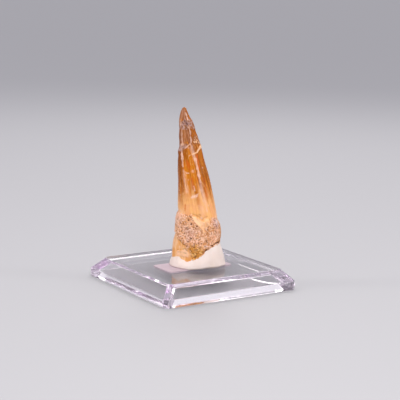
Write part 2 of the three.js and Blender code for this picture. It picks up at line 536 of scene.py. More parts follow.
def mottling_group() -> bpy.types.NodeTree:
    """Soft uneven patches, as on any handled or weathered surface.

    Returns:
        A group that gives a mask of broad patches and one of fine grain.
    """
    graph = new_group("mottling", (("Vector", "Vector"), ("Patches", "Float"), ("Grain", "Float")),
                      ("Broad", "Fine"))
    ends = graph.tree.nodes
    vector = ends["in"].outputs["Vector"]
    for wanted, result, low, high in (("Patches", "Broad", 0.35, 0.65), ("Grain", "Fine", 0.3, 0.7)):
        spread = graph.noise(vector, ends["in"].outputs[wanted], detail=4.0)
        graph.feed(ends["out"].inputs[result], graph.ramp(spread, low, high))
    return graph.tree


def new_material(name: str) -> tuple[bpy.types.Material, Graph, bpy.types.Node]:
    """Starts a material.

    Args:
        name: The material's name.

    Returns:
        The material, its graph and its Principled node.
    """
    material = bpy.data.materials.new(name)
    material.use_nodes = True
    return material, Graph(material.node_tree), material.node_tree.nodes["Principled BSDF"]


@dataclass(frozen=True)
class FossilFinish:
    """Glossy amber enamel, a sandy crust and a strip of bare root, told apart by the tooth's marks."""

    amber: Colour = (0.36, 0.095, 0.004)
    amber_light: Colour = (0.63, 0.20, 0.012)
    # Deep amber of darker fibres and patches, also the colour of painted shade on facets and above the flake
    amber_deep_and_shade: Colour = (0.22, 0.052, 0.004)
    peach: Colour = (0.91, 0.475, 0.185)
    salmon: Colour = (0.84, 0.385, 0.175)
    red: Colour = (0.60, 0.10, 0.010)
    # Pale of the streaks and flecks, which on the ridges is partly painted highlight
    pale: Colour = (0.92, 0.60, 0.47)
    wear: Colour = (0.24, 0.095, 0.045)
    wear_light: Colour = (0.46, 0.22, 0.13)
    bloom: Colour = (0.44, 0.28, 0.26)
    purple: Colour = (0.10, 0.05, 0.06)
    cream: Colour = (0.945, 0.57, 0.335)
    cream_dark: Colour = (0.62, 0.31, 0.12)
    crust_pink: Colour = (0.84, 0.445, 0.275)
    crust_tan: Colour = (0.80, 0.40, 0.19)
    # Rust colour of the sand, also laid as orange painted shade round the knob
    crust_rust_and_knob_shade: Colour = (0.62, 0.24, 0.06)
    crust_mauve: Colour = (0.64, 0.39, 0.34)
    crust_light: Colour = (0.93, 0.64, 0.49)
    crust_brown: Colour = (0.43, 0.165, 0.06)
    crust_dark: Colour = (0.10, 0.022, 0.004)
    gold: Colour = (0.58, 0.235, 0.03)
    gold_light: Colour = (0.90, 0.50, 0.16)
    gold_dark: Colour = (0.26, 0.09, 0.012)
    root: Colour = (0.82, 0.37, 0.115)
    root_light: Colour = (0.93, 0.58, 0.31)
    chalk: Colour = (0.92, 0.76, 0.74)
    # Dark of the hairline cracks and of the painted shadow lines
    crack_and_shadow_dark: Colour = (0.12, 0.036, 0.008)

    # How fine each kind of streak is round the tooth and along it
    threads: Fineness = (30.0, 0.20)
    broad_streaks: Fineness = (2.6, 0.10)
    fibres: Fineness = (12.0, 0.07)
    blotches: Fineness = (3.6, 0.3)
    mottle: Fineness = (11.0, 0.6)
    stripes: Fineness = (7.0, 0.35)
    root_fibres: Fineness = (9.0, 0.35)

    # Where each streak, speck and grain shows in its pattern
    light_streaks: Cover = (0.38, 0.62, 1.0)
    light_threads: Cover = (0.52, 0.36, 0.5)
    red_mottle: Cover = (0.54, 0.70, 0.5)
    peach_mottle: Cover = (0.46, 0.32, 0.4)
    deep_fibres: Cover = (0.48, 0.64, 0.75)
    foot_fibres: Cover = (0.42, 0.70, 0.32)
    foot_blotches: Cover = (0.48, 0.62, 0.7)
    worn_stripes: Cover = (0.46, 0.62, 1.0)
    bloom_specks: Cover = (0.46, 0.60, 0.9)
    bloom_start: Span = (0.6, 0.85)
    dark_filling: Cover = (0.6, 1.0, 0.4)
    light_grains: Cover = (0.48, 0.70, 0.65)
    brown_grains: Cover = (0.44, 0.28, 0.5)
    brown_gaps: Cover = (0.55, 0.85, 0.4)
    light_crystals: Cover = (0.45, 0.65, 1.0)
    crystal_gaps: Cover = (0.5, 0.8, 1.0)
    light_root: Cover = (0.42, 0.6, 1.0)
    golden_root: Cover = (0.55, 0.7, 0.4)

    # How broken the pale streaks are, by threads and by patches
    pale_threads: Span = (0.60, 0.42)
    pale_between: float = 0.45
    pale_in_patches: float = 0.7

    # Patches, specks and grains in each metre, and how far the borders of the grains wave
    patches: float = 420.0
    specks: float = 1400.0
    sand: float = 2400.0
    sand_shake: float = 0.2 * MM
    crystals: float = 1250.0
    crystal_shake: float = 0.15 * MM

    # Roughness of the polished and the handled enamel, of the worn enamel, the root and the crust
    polished: float = 0.22
    handled: float = 0.34
    worn_roughness: float = 0.55
    root_roughness: float = 0.5
    crust_roughness: float = 0.88

    # Height of the sand's grains, how strongly it shows, how far out a grain is rounded, and the share of
    # that height that the enamel's threads have
    relief_depth: float = 0.12 * MM
    relief_strength: float = 0.7
    grain_round: float = 0.9
    thread_share: float = 0.25

    # Shine, and light that sinks in: its share, how far each colour goes, and how deep
    gloss: float = 0.14
    glow: float = 0.06
    glow_radius: Colour = (1.0, 0.45, 0.18)
    glow_depth: float = 0.5 * MM

    def make(self, mottling: bpy.types.NodeTree) -> bpy.types.Material:
        """Builds the material.

        Args:
            mottling: The shared group of uneven patches.

        Returns:
            The material.
        """
        material, graph, shader = new_material("fossil")
        uneven = graph.group(mottling, Vector=graph.place(), Patches=self.patches).outputs["Broad"]
        threads = graph.streaks(self.threads, detail=2.0)
        sand = graph.cells(self.sand, self.sand_shake)
        crust, root = graph.mask(Mark.CRUST), graph.mask(Mark.ROOT)
        colour = graph.tint(root, self.crown_colour(graph, threads), self.root_colour(graph, threads))
        colour = graph.tint(crust, colour, self.crust_colour(graph, uneven, sand))
        graph.fill(
            shader,
            Base_Color=self.marked(graph, colour, uneven, threads),
            Roughness=self.roughness(graph, uneven, crust, root),
            Normal=self.relief(graph, threads, sand, crust),
            Specular_IOR_Level=self.gloss,
            Subsurface_Weight=self.glow,
            Subsurface_Radius=self.glow_radius,
            Subsurface_Scale=self.glow_depth,
        )
        return material

    def crown_colour(self, graph: Graph, threads: Socket) -> Socket:
        """Streaky amber of the enamel, with its wear, stains and painted shade.

        Args:
            graph: The material's graph.
            threads: Noise drawn out along the tooth.

        Returns:
            The colour.
        """
        patterns = (self.broad_streaks, self.fibres, self.mottle)
        broad, fibres, mottle = (graph.streaks(pattern) for pattern in patterns)
        colour = graph.lay(self.amber, self.amber_light, broad, self.light_streaks)
        colour = graph.lay(colour, self.amber_light, threads, self.light_threads)
        colour = graph.lay(colour, self.red, mottle, self.red_mottle)
        colour = graph.lay(colour, self.peach, mottle, self.peach_mottle)
        colour = graph.lay(colour, self.amber_deep_and_shade, fibres, self.deep_fibres)
        foot = graph.lay(self.peach, self.amber_light, fibres, self.foot_fibres)
        foot = graph.lay(foot, self.salmon, graph.streaks(self.blotches), self.foot_blotches)
        for mark, over in ((Mark.PEACH, foot), (Mark.DEEP_AND_SHADE, self.amber_deep_and_shade), (Mark.RED, self.red)):
            colour = graph.paint(colour, mark, over)
        return graph.paint(colour, Mark.WORN, self.worn_colour(graph))

    def worn_colour(self, graph: Graph) -> Socket:
        """Dull striped enamel with rose-grey specks where it is worn most.

        Args:
            graph: The material's graph.

        Returns:
            The colour.
        """
        wear = graph.lay(self.wear, self.wear_light, graph.streaks(self.stripes), self.worn_stripes)
        bloomed = graph.lay(wear, self.bloom, graph.noise(graph.place(), self.specks), self.bloom_specks)
        return graph.tint(graph.ramp(graph.mask(Mark.WORN), *self.bloom_start), wear, bloomed)

    def marked(self, graph: Graph, colour: Socket, uneven: Socket, threads: Socket) -> Socket:
        """Lays pale streaks, partly painted highlights, cream fillings, purple specks, and dark cracks and
        painted shadow lines over a colour.

        Args:
            graph: The material's graph.
            colour: The colour under them.
            uneven: A mask of broad patches.
            threads: Noise drawn out along the tooth.

        Returns:
            The colour.
        """
        lines = graph.ramp(threads, *self.pale_threads, self.pale_between, 1.0)
        patchy = graph.ramp(uneven, 0.0, 1.0, 1.0, self.pale_in_patches)
        broken = graph.maths("MULTIPLY", graph.maths("MULTIPLY", lines, patchy), graph.mask(Mark.PALE))
        colour = graph.tint(broken, colour, self.pale)
        filling = graph.lay(self.cream, self.cream_dark, uneven, self.dark_filling)
        for mark, over in ((Mark.CREAM, filling), (Mark.PURPLE, self.purple), (Mark.CRACK_AND_SHADOW, self.crack_and_shadow_dark)):
            colour = graph.paint(colour, mark, over)
        return colour

    def crust_colour(self, graph: Graph, uneven: Socket, sand: bpy.types.Node) -> Socket:
        """Pinkish and tan grains with chalky lumps and dark pits, golden crystals near the foot, and rusty
        patches that also carry orange painted shade round the knob.

        Args:
            graph: The material's graph.
            uneven: A mask of broad patches.
            sand: The node of the sand's cells.

        Returns:
            The colour.
        """
        each = sand.outputs["Color"]
        colour = graph.tint(uneven, self.crust_pink, self.crust_tan)
        for mark, over in ((Mark.WORN, self.crust_mauve), (Mark.RUST, self.crust_rust_and_knob_shade)):
            colour = graph.paint(colour, mark, over)
        colour = graph.lay(colour, self.crust_light, each, self.light_grains)
        colour = graph.lay(colour, self.crust_brown, each, self.brown_grains)
        colour = graph.lay(colour, self.crust_brown, sand.outputs["Distance"], self.brown_gaps)
        crystals = graph.cells(self.crystals, self.crystal_shake)
        sparkle = graph.lay(self.gold, self.gold_light, crystals.outputs["Color"], self.light_crystals)
        sparkle = graph.lay(sparkle, self.gold_dark, crystals.outputs["Distance"], self.crystal_gaps)
        for mark, over in ((Mark.GOLD, sparkle), (Mark.CHALK, self.chalk), (Mark.PIT, self.crust_dark)):
            colour = graph.paint(colour, mark, over)
        return colour

    def root_colour(self, graph: Graph, threads: Socket) -> Socket:
        """Smooth yellow-orange root with long fibres.

        Args:
            graph: The material's graph.
            threads: Noise drawn out along the tooth.

        Returns:
            The colour.
        """
        fibres = graph.streaks(self.root_fibres, detail=4.0)
        colour = graph.lay(self.root, self.root_light, fibres, self.light_root)
        return graph.lay(colour, self.gold, threads, self.golden_root)

    def roughness(self, graph: Graph, uneven: Socket, crust: Socket, root: Socket) -> Socket:
        """Glossy enamel, duller root and rough crust.

        Args:
            graph: The material's graph.
            uneven: A mask of broad patches.
            crust: Cover of the crust.
            root: Cover of the root.

        Returns:
            The roughness.
        """
        value = graph.ramp(uneven, 0.0, 1.0, self.polished, self.handled)
        value = graph.blend(root, value, self.root_roughness)
        value = graph.blend(graph.mask(Mark.WORN), value, self.worn_roughness)
        return graph.blend(crust, value, self.crust_roughness)

    def relief(self, graph: Graph, threads: Socket, sand: bpy.types.Node, crust: Socket) -> Socket:
        """Fine lengthwise lines on the enamel and rounded grains on the crust.

        Args:
            graph: The material's graph.
            threads: Noise drawn out along the tooth.
            sand: The node of the sand's cells.
            crust: Cover of the crust.

        Returns:
            The normal.
        """
        rounded = graph.ramp(sand.outputs["Distance"], 0.0, self.grain_round, 1.0, 0.0)
        height = graph.blend(crust, graph.maths("MULTIPLY", threads, self.thread_share), rounded)
        return graph.bump(height, self.relief_depth, self.relief_strength)


@dataclass(frozen=True)
class PuttyFinish:
    """Soft warm white putty, matt, with a faint stain in broad patches."""

    white: Colour = (0.84, 0.72, 0.665)
    stain: Colour = (0.78, 0.64, 0.56)
    stain_share: float = 0.5

    # Patches and grain in each metre, roughness outside and in the patches, and the grain's height
    patches: float = 260.0
    grain: float = 2600.0
    roughness: Span = (0.62, 0.8)
    relief_depth: float = 0.03 * MM
    relief_strength: float = 0.5

    # Light that sinks in: its share, how far each colour goes, and how deep
    glow: float = 0.15
    glow_radius: Colour = (1.0, 0.8, 0.6)
    glow_depth: float = 0.8 * MM

    def make(self, mottling: bpy.types.NodeTree) -> bpy.types.Material:
        """Builds the material.

        Args:
            mottling: The shared group of uneven patches.

        Returns:
            The material.
        """
        material, graph, shader = new_material("putty")
        mottled = graph.group(mottling, Vector=graph.place(), Patches=self.patches, Grain=self.grain)
        uneven = mottled.outputs["Broad"]
        stained = graph.maths("MULTIPLY", uneven, self.stain_share)
        graph.fill(
            shader,
            Base_Color=graph.tint(stained, self.white, self.stain),
            Roughness=graph.ramp(uneven, 0.0, 1.0, *self.roughness),
            Normal=graph.bump(mottled.outputs["Fine"], self.relief_depth, self.relief_strength),
            Subsurface_Weight=self.glow,
            Subsurface_Radius=self.glow_radius,
            Subsurface_Scale=self.glow_depth,
        )
        return material


@dataclass(frozen=True)
class PadFinish:
    """Cool white adhesive pad with a faint fibre."""

    white: Colour = (0.53, 0.42, 0.47)
    shade: Colour = (0.46, 0.37, 0.42)

    # Patches and fibre in each metre, roughness between and on the fibre, and the fibre's height
    patches: float = 300.0
    fibre: float = 3200.0
    roughness: Span = (0.45, 0.65)
    relief_depth: float = 0.02 * MM
    relief_strength: float = 0.5

    def make(self, mottling: bpy.types.NodeTree) -> bpy.types.Material:
        """Builds the material.

        Args:
            mottling: The shared group of uneven patches.

        Returns:
            The material.
        """
        material, graph, shader = new_material("pad")
        mottled = graph.group(mottling, Vector=graph.place(), Patches=self.patches, Grain=self.fibre)
        graph.fill(
            shader,
            Base_Color=graph.tint(mottled.outputs["Broad"], self.white, self.shade),
            Roughness=graph.ramp(mottled.outputs["Fine"], 0.0, 1.0, *self.roughness),
            Normal=graph.bump(mottled.outputs["Fine"], self.relief_depth, self.relief_strength),
        )
        return material


@dataclass(frozen=True)
class ClearFinish:
    """Clear moulded plastic with a faint violet cast and fine scratches."""

    tint: Colour = (1.0, 0.985, 1.0)
    absorbed: Colour = (0.925, 0.82, 0.945)
    density: float = 15.0
    bend: float = 1.49

    # Roughness between and on the scratches, and the height of their edges
    roughness: Span = (0.015, 0.12)
    relief_depth: float = 0.01 * MM
    relief_strength: float = 0.35

    # Scratches: how their pattern is drawn out, how fine it is, how far from its middle value a line goes,
    # and the patches that keep some of them
    drawn_out: tuple[float, float, float] = (1.0, 0.35, 1.0)
    sways: float = 90.0
    line_reach: float = 0.004
    patches: float = 260.0
    kept: Span = (0.52, 0.62)

    def make(self) -> bpy.types.Material:
        """Builds the material.

        Returns:
            The material.
        """
        material, graph, shader = new_material("clear_plastic")
        scratches = self.scratches(graph)
        graph.fill(
            shader,
            Base_Color=self.tint,
            Transmission_Weight=1.0,
            IOR=self.bend,
            Roughness=graph.ramp(scratches, 0.0, 1.0, *self.roughness),
            Normal=graph.bump(scratches, self.relief_depth, self.relief_strength),
        )
        volume = graph.node("ShaderNodeVolumeAbsorption")
        graph.fill(volume, Color=self.absorbed, Density=self.density)
        graph.fill(graph.tree.nodes["Material Output"], Volume=volume.outputs["Volume"])
        return material

    def scratches(self, graph: Graph) -> Socket:
        """Sparse thin lines, where a long noise passes its middle value.

        Args:
            graph: The material's graph.

        Returns:
            A mask of the lines.
        """
        sway = graph.noise(graph.stretch(graph.place(), self.drawn_out), self.sways, detail=1.0)
        apart = graph.maths("ABSOLUTE", graph.maths("SUBTRACT", sway, 0.5), 0.0)
        line = graph.ramp(apart, self.line_reach, 0.0)
        sparse = graph.ramp(graph.noise(graph.place(), self.patches, detail=1.0), *self.kept)
        return graph.maths("MULTIPLY", line, sparse)


@dataclass(frozen=True)
class FloorFinish:
    """Plain pale floor."""

    pale: Colour = (0.46, 0.46, 0.475)
    roughness: float = 0.6

    def make(self) -> bpy.types.Material:
        """Builds the material.

        Returns:
            The material.
        """
        material, graph, shader = new_material("floor")
        graph.fill(shader, Base_Color=self.pale, Roughness=self.roughness)
        return material


def spun_skin(rows: int, sides: int) -> bmesh.types.BMesh:
    """Makes a closed skin of numbered rows by spinning a profile about Z.

    Args:
        rows: Rows of points, the first and last of which are one point on the axis.
        sides: Points round each row between them.

    Returns:
        The skin, with unit radius and each row at its number as height.
    """
    skin = bmesh.new()
    tip = bmesh.ops.create_vert(skin, co=(0, 0, 0))["vert"][0]
    for row in range(1, rows):
        grown = bmesh.ops.extrude_vert_indiv(skin, verts=[tip])
        tip = grown["verts"][0]
        tip.co = (0, 0 if row == rows - 1 else -1, row)
    bmesh.ops.spin(skin, geom=skin.verts[:] + skin.edges[:], cent=(0, 0, 0), axis=(0, 0, 1),
                   angle=2 * math.pi, steps=sides, use_merge=True)
    bmesh.ops.remove_doubles(skin, verts=skin.verts, dist=MERGE_WITHIN)
    bmesh.ops.recalc_face_normals(skin, faces=skin.faces)
    return skin


def read_skin(skin: bmesh.types.BMesh) -> tuple[np.ndarray, np.ndarray, np.ndarray]:
    """Reads where each point of a spun skin is.

    Args:
        skin: The skin.

    Returns:
        Angles round from the front in degrees, row numbers, and 0 for points on the axis or else 1.
    """
    points = np.array([vertex.co for vertex in skin.verts])
    around = np.degrees(np.arctan2(points[:, 0], -points[:, 1]))
    row = np.rint(points[:, 2]).astype(int)
    off_axis = (np.hypot(points[:, 0], points[:, 1]) > 0.5).astype(float)
    return around, row, off_axis


def place_points(mesh: bmesh.types.BMesh, points: np.ndarray) -> None:
    """Moves a mesh's points, in order, to new places."""
    for vertex, point in zip(mesh.verts, points):
        vertex.co = point


def round_edges(mesh: bmesh.types.BMesh, edges: list[bmesh.types.BMEdge], radius: float,
                segments: int) -> list[bmesh.types.BMFace]:
    """Rounds some edges of a mesh.

    Args:
        mesh: The mesh.
        edges: The edges.
        radius: Radius of the rounding.
        segments: Faces across each rounded edge.

    Returns:
        The new faces.
    """
    made = bmesh.ops.bevel(mesh, geom=edges, offset=radius, affect="EDGES", segments=segments, profile=0.5,
                           material=-1)
    return made["faces"]


def add_object(name: str, data: bpy.types.ID) -> bpy.types.Object:
    """Puts a mesh, a lamp or a camera in the scene.

    Args:
        name: The object's name.
        data: What it shows.

    Returns:
        The object.
    """
    made = bpy.data.objects.new(name, data)
    bpy.context.scene.collection.objects.link(made)
    return made


def add_piece(name: str, mesh: bmesh.types.BMesh, node: str) -> bpy.types.Object:
    """Makes a piece of the object from a mesh in millimetres.

    Args:
        name: The piece's name.
        mesh: Its mesh, which is freed.
        node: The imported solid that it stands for.

    Returns:
        The piece.
    """
    bmesh.ops.scale(mesh, vec=(MM, MM, MM), verts=mesh.verts)
    data = bpy.data.meshes.new(name)
    mesh.to_mesh(data)
    mesh.free()
    piece = add_object(name, data)
    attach(piece, BODY)
    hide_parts(node)
    return piece


@dataclass
class Tooth:
    """The fossil tooth: an oval, slightly curved cone with long ridges, a crusted foot and a worn tip."""

    foot_at: Place = (-1.0, -4.8)
    turn_deg: float = -33.0
    foot: float = packed_heights("tooth")[0]
    tip: float = packed_heights("tooth")[1]
    depth_ratio: float = 0.76
    sides: int = 320
    least_radius: float = 0.02

    # Height, half width and sideways lean of the bare tooth on its broad side
    outline: tuple[tuple[float, float, float], ...] = (
        (foot, 8.2, 0.0), (14.0, 7.9, -0.05), (20.0, 7.12, 0.05), (25.8, 6.38, -0.32),
        (31.0, 5.78, -0.92), (36.3, 5.12, -1.57), (41.5, 4.22, -2.33), (46.0, 3.6, -2.88),
        (50.0, 2.85, -3.53), (53.8, 2.32, -4.27), (56.3, 1.5, -4.75), (58.1, 0.7, -4.86),
        (tip, 0.0, -4.96),
    )

    # Where each stretch of rows ends, and how many rows it has
    stretches: tuple[tuple[float, int], ...] = ((26.0, 150), (43.0, 58), (54.0, 42), (58.0, 18), (tip, 6))

    ridge_count: int = 5
    ridge_start_deg: float = -52.0
    ridge_start_height: float = 45.0
    ridge_twist_deg: float = 0.9
    ridge_round: float = 0.12
    facet_hollow: float = 0.06
    fibre_depth: float = 0.05
    fibre_fineness: tuple[float, float, float] = (9.0, 9.0, 0.12)

    # How dark each facet is in the upper crown, going round from the front one: partly the enamel's own
    # colour and partly painted shade, darkest on the left facet
    facet_colour_and_shade: tuple[float, ...] = (0.0, 0.25, 0.5, 0.35, 0.75)
    facet_share: float = 0.06

    # Heights between which that facet colour and painted shade come in, and go again below the worn collar
    tones_start: Span = (33.0, 43.0)
    tones_end: Span = (53.0, 51.5)

    # Where the amber starts to fade to peach towards the crust
    peach_top: tuple[Place, ...] = (
        (-180, 36), (-100, 35), (-60, 33), (-40, 37), (0, 36), (34, 36), (44, 33), (90, 33), (120, 35),
        (180, 36),
    )
    peach_fade: float = 9.0

    # How far streaks carry the peach up and down, how fine they are, and their seed
    peach_streak_reach: float = 4.0
    peach_streaks: tuple[float, float, float] = (5.0, 5.0, 0.05)
    peach_streak_seed: float = 43.0

    crust_thickness: float = 0.5
    crust_top_fade: float = 1.6
    crust_colour_fade: float = 0.5
    crust_foot_fade: float = 0.35
    crust_top: tuple[Place, ...] = (
        (-180, 24.0), (-130, 25.6), (-90, 24.8), (-45, 24.7), (-22, 24.8), (-8, 23.9), (6, 22.6),
        (20, 20.4), (34, 22.2), (44, 22.8), (62, 23.4), (90, 22.2), (120, 23.6), (150, 25.4), (180, 24.0),
    )
    crust_foot: tuple[Place, ...] = (
        (-180, 13.0), (-130, 17.8), (-90, 17.6), (-74, 17.0), (-62, 16.2), (-48, 15.3), (-35, 14.3),
        (-22, 12.7), (-12, 10.2), (0, 0.0), (140, 0.0), (180, 13.0),
    )
    root_fade: float = 0.4

    # Noise that makes edges ragged, and how much of it the crust's form, its sand and the root take up
    wander: tuple[Layer, ...] = ((1.0, 1.1, 0.0), (0.5, 0.5, 3.0))
    form_ragged: float = 0.4
    sand_ragged: float = 0.6
    root_ragged: float = 0.5

    # The crust's lumps and sand, and the crystals low on it
    lumps: tuple[Layer, ...] = ((0.22, 2.6, 5.0), (0.16, 1.5, 7.0))
    sand: tuple[Layer, ...] = ((0.04, 0.55, 31.0), (0.055, 0.32, 37.0))
    crystal_height: float = 0.4
    crystal_size: float = 0.85

    # Small pits of the crust: spacing, share of the places that have one, depth and cover
    pit_spacing: float = 0.5
    pit_share: float = 0.62
    pit_depth: float = 0.12
    pit_cover: float = 0.85
    pale_crust_smooths: float = 0.7

    # Pale flecks on the enamel: spacing, share, cover, and the heights between which they come in
    fleck_spacing: float = 1.5
    fleck_share: float = 0.13
    fleck_cover: float = 0.75
    flecks_start: Span = (52.0, 40.0)

    # Rusty patches: size, seed, the noise between which they come in, and cover
    rust_size: float = 3.0
    rust_seed: float = 41.0
    rust_start: Span = (0.1, 0.5)
    rust_cover: float = 0.6

    # Pale streaks along the ridge to the right of the front: partly wear and partly painted highlight
    right_ridge_wear_and_highlight: Marks = (
        Stroke(Mark.PALE, ((22, 52.4), (22, 51.2), (20, 49.6), (15, 47.4)),
               (0.16, 0.22, 0.2, 0.16), soft=0.12),
        Stroke(Mark.PALE, ((10, 47.3), (12, 46.2), (13, 44.8), (19, 43.2), (26, 42.0)),
               (0.2, 0.32, 0.55, 0.5, 0.5), soft=0.3, strength=0.7),
        Stroke(Mark.PALE, ((26, 42.2), (28, 40.6), (28, 39.0), (28.5, 37.6), (29, 36.0), (29.5, 34.8)),
               (0.5, 0.33, 0.24, 0.42, 0.42, 0.25)),
        Stroke(Mark.PALE, ((30, 34.8), (31, 32.5), (35, 30.5), (36, 28.6), (38, 25.7)),
               (0.3, 0.6, 0.6, 0.5, 0.35), soft=0.5, strength=0.6),
    )

    # Pale streaks along the ridge to the left of the front: partly wear and partly painted highlight
    left_ridge_wear_and_highlight: Marks = (
        Stroke(Mark.PALE, ((-54, 44.6), (-52, 43.0), (-49, 41.2), (-47, 39.6)),
               (0.2, 0.4, 0.34, 0.12), soft=0.15),
        Stroke(Mark.PALE, ((-45, 38.8), (-42, 37.0), (-40, 35.4), (-36, 33.5), (-34, 31.9)),
               (0.2, 0.36, 0.4, 0.5, 0.5), soft=0.4, strength=0.55),
        Stroke(Mark.PALE, ((-50, 51.6), (-52, 48.6), (-50, 46.8)), (0.15, 0.26, 0.2), strength=0.6),
    )

    # Streaks and bloom at the tip
    tip_wear: Marks = (
        Stroke(Mark.PALE, ((-40, 57.0), (-46, 55.2), (-54, 52.6)),
               (0.06, 0.12, 0.18), soft=0.15, strength=0.6),
        Stroke(Mark.PALE, ((24, 57.0), (30, 56.0), (28, 54.6)), (0.06, 0.18, 0.22), soft=0.1),
        Stroke(Mark.PALE, ((2, 57.8), (-6, 56.4), (-9, 55.2)), (0.1, 0.12, 0.1), soft=0.15, strength=0.4),
        Stroke(Mark.PALE, ((60, 54.6), (64, 53.0), (70, 51.4)), (0.08, 0.14, 0.1), strength=0.12),
        Patch(Mark.WORN, ((-100, 58.6), (36, 58.6), (44, 54.6), (-100, 54.6)), soft=0.4, strength=0.58),
        Patch(Mark.DEEP_AND_SHADE, ((-100, 58.6), (36, 58.6), (44, 54.8), (-100, 54.8)), soft=0.5, strength=0.5),
        Stroke(Mark.PALE, ((-34, 57.6), (-44, 56.2), (-50, 54.8)),
               (0.1, 0.15, 0.15), soft=0.25, strength=0.3),
        Patch(Mark.WORN, ((110, 57.4), (180, 57.4), (180, 54.6), (110, 54.6)), soft=0.5, strength=0.5),
    )

    # White flecks on the front, and a small painted glint near the left ridge
    front_flecks_and_glint: Marks = (
        Stroke(Mark.PALE, ((-39, 38.1), (-28, 37.7), (-17, 37.8)), (0.05, 0.16, 0.1), soft=0.1),
        Stroke(Mark.PALE, ((-12, 30.0), (-2, 30.3), (9, 31.0)),
               (0.25, 0.45, 0.25), soft=0.25, ragged=0.55),
        # Small painted glint near the left ridge
        Stroke(Mark.PALE, ((-48, 32.8), (-46, 31.2)), (0.1, 0.1), soft=0.15, strength=0.9),
        Stroke(Mark.PALE, ((-2, 33.6), (2, 32.2)), (0.18, 0.2), strength=0.9),
        Patch(Mark.PALE, ((12, 27.4), (30, 27.4), (32, 24.6), (20, 24.2)), soft=0.9, strength=0.4),
    )

    # Worn rose-grey collar and patch at the two breaks, with purple specks
    break_wear: Marks = (
        Patch(Mark.WORN, ((-180, 54.7), (180, 54.7), (180, 51.6), (-180, 51.6)), strength=0.9, ragged=0.9),
        Patch(Mark.WORN, ((-80, 52.2), (-50, 52.2), (38, 52.2), (30, 47.4), (-80, 47.4)),
              soft=0.6, strength=0.6, ragged=0.8),
        Patch(Mark.WORN, ((110, 51.8), (180, 51.8), (180, 48.0), (130, 48.0)),
              soft=0.6, strength=0.5, ragged=0.8),
        Patch(Mark.WORN, ((-110, 46.9), (-30, 47.2), (0, 47.3), (-20, 46.0), (-50, 44.4), (-110, 44.2)),
              strength=0.9),
        Patch(Mark.WORN, ((6, 47.6), (26, 47.4), (26, 44.4), (14, 43.6)), soft=0.5, strength=0.6),
        Stroke(Mark.PURPLE, ((-10, 54.2), (0, 53.7), (8, 53.3), (18, 52.9)),
               (0.14, 0.2, 0.3, 0.2), strength=0.75, ragged=0.4),
        *(Stroke(Mark.PURPLE, (start, end), widths, soft=0.15, strength=strength)
          for start, end, widths, strength in (
            ((-36, 54.1), (-33, 53.5), (0.1, 0.15), 0.7),
            ((-46, 52.6), (-40, 52.4), (0.12, 0.1), 0.65),
            ((-60, 52.5), (-57, 52.3), (0.1, 0.1), 0.6),
            ((28, 53.6), (38, 53.2), (0.1, 0.12), 0.45),
            ((-14, 54.7), (-8, 54.5), (0.1, 0.1), 0.6),
            ((-6, 47.4), (2, 47.6), (0.14, 0.16), 0.65),
            ((-75, 45.5), (-70, 45.3), (0.1, 0.12), 0.5))),
        Stroke(Mark.PURPLE, ((120, 53.8), (138, 53.2), (158, 53.5)),
               (0.1, 0.3, 0.15), strength=0.7, ragged=0.4),
        Stroke(Mark.PURPLE, ((-150, 53.3), (-132, 53.7)), (0.15, 0.25), strength=0.7, ragged=0.4),
        *(Stroke(Mark.PALE, ((angle, height),), (half,), soft=0.12, strength=0.75)
          for angle, height, half in (
            (-3, 54.8, 0.14), (40, 54.3, 0.16), (69, 52.2, 0.1), (-54, 53.0, 0.14), (-60, 54.2, 0.16),
            (9, 52.8, 0.16), (14, 52.2, 0.12), (-31, 52.5, 0.1), (150, 54.0, 0.2), (-120, 52.8, 0.18),
            (-160, 53.6, 0.14), (105, 52.6, 0.2))),
    )

    # Healed cracks and cream fillings
    healed_cracks: Marks = (
        Stroke(Mark.CREAM,
               ((-13, 43.1), (1, 43.6), (20, 44.0), (45, 44.4), (54, 45.1), (72, 45.8), (89, 46.2)),
               (0.04, 0.1, 0.14, 0.24, 0.26, 0.4, 0.5), soft=0.1, rise=0.1, ragged=0.15),
        Stroke(Mark.PALE, ((-36, 45.4), (-17, 46.3), (5, 47.0)),
               (0.1, 0.18, 0.18), soft=0.12, rise=0.06, ragged=0.15),
        Stroke(Mark.PALE, ((-66, 45.6), (-50, 45.2)), (0.3, 0.35), soft=0.3, strength=0.5),
        Stroke(Mark.CREAM, ((-60, 46.8), (-44, 46.9)), (0.12, 0.14), soft=0.15, strength=0.5),
        Stroke(Mark.PALE, ((-78, 45.0), (-60, 46.4), (-40, 46.9)), (0.12, 0.22, 0.15), strength=0.6),
        Patch(Mark.WORN, ((36, 49.0), (64, 50.0), (90, 48.4), (90, 46.6), (40, 47.0)),
              soft=0.4, strength=0.6),
        *(Stroke(Mark.CREAM, path, widths, soft=0.12, strength=strength, rise=rise)
          for path, widths, strength, rise in (
            (((54, 49.0), (57, 48.6)), (0.12, 0.08), 0.9, 0.12),
            (((62, 48.3), (66, 48.0)), (0.16, 0.1), 0.9, 0.12),
            (((72, 47.4), (76, 47.2)), (0.14, 0.2), 0.95, 0.12),
            (((36, 47.7), (42, 47.6)), (0.12, 0.16), 0.9, 0.1),
            (((52, 47.6), (58, 47.5)), (0.15, 0.1), 0.9, 0.1),
            (((46, 48.4),), (0.12,), 0.85, 0.1),
            (((66, 49.3), (72, 49.0)), (0.1, 0.12), 0.8, 0.1))),
    )

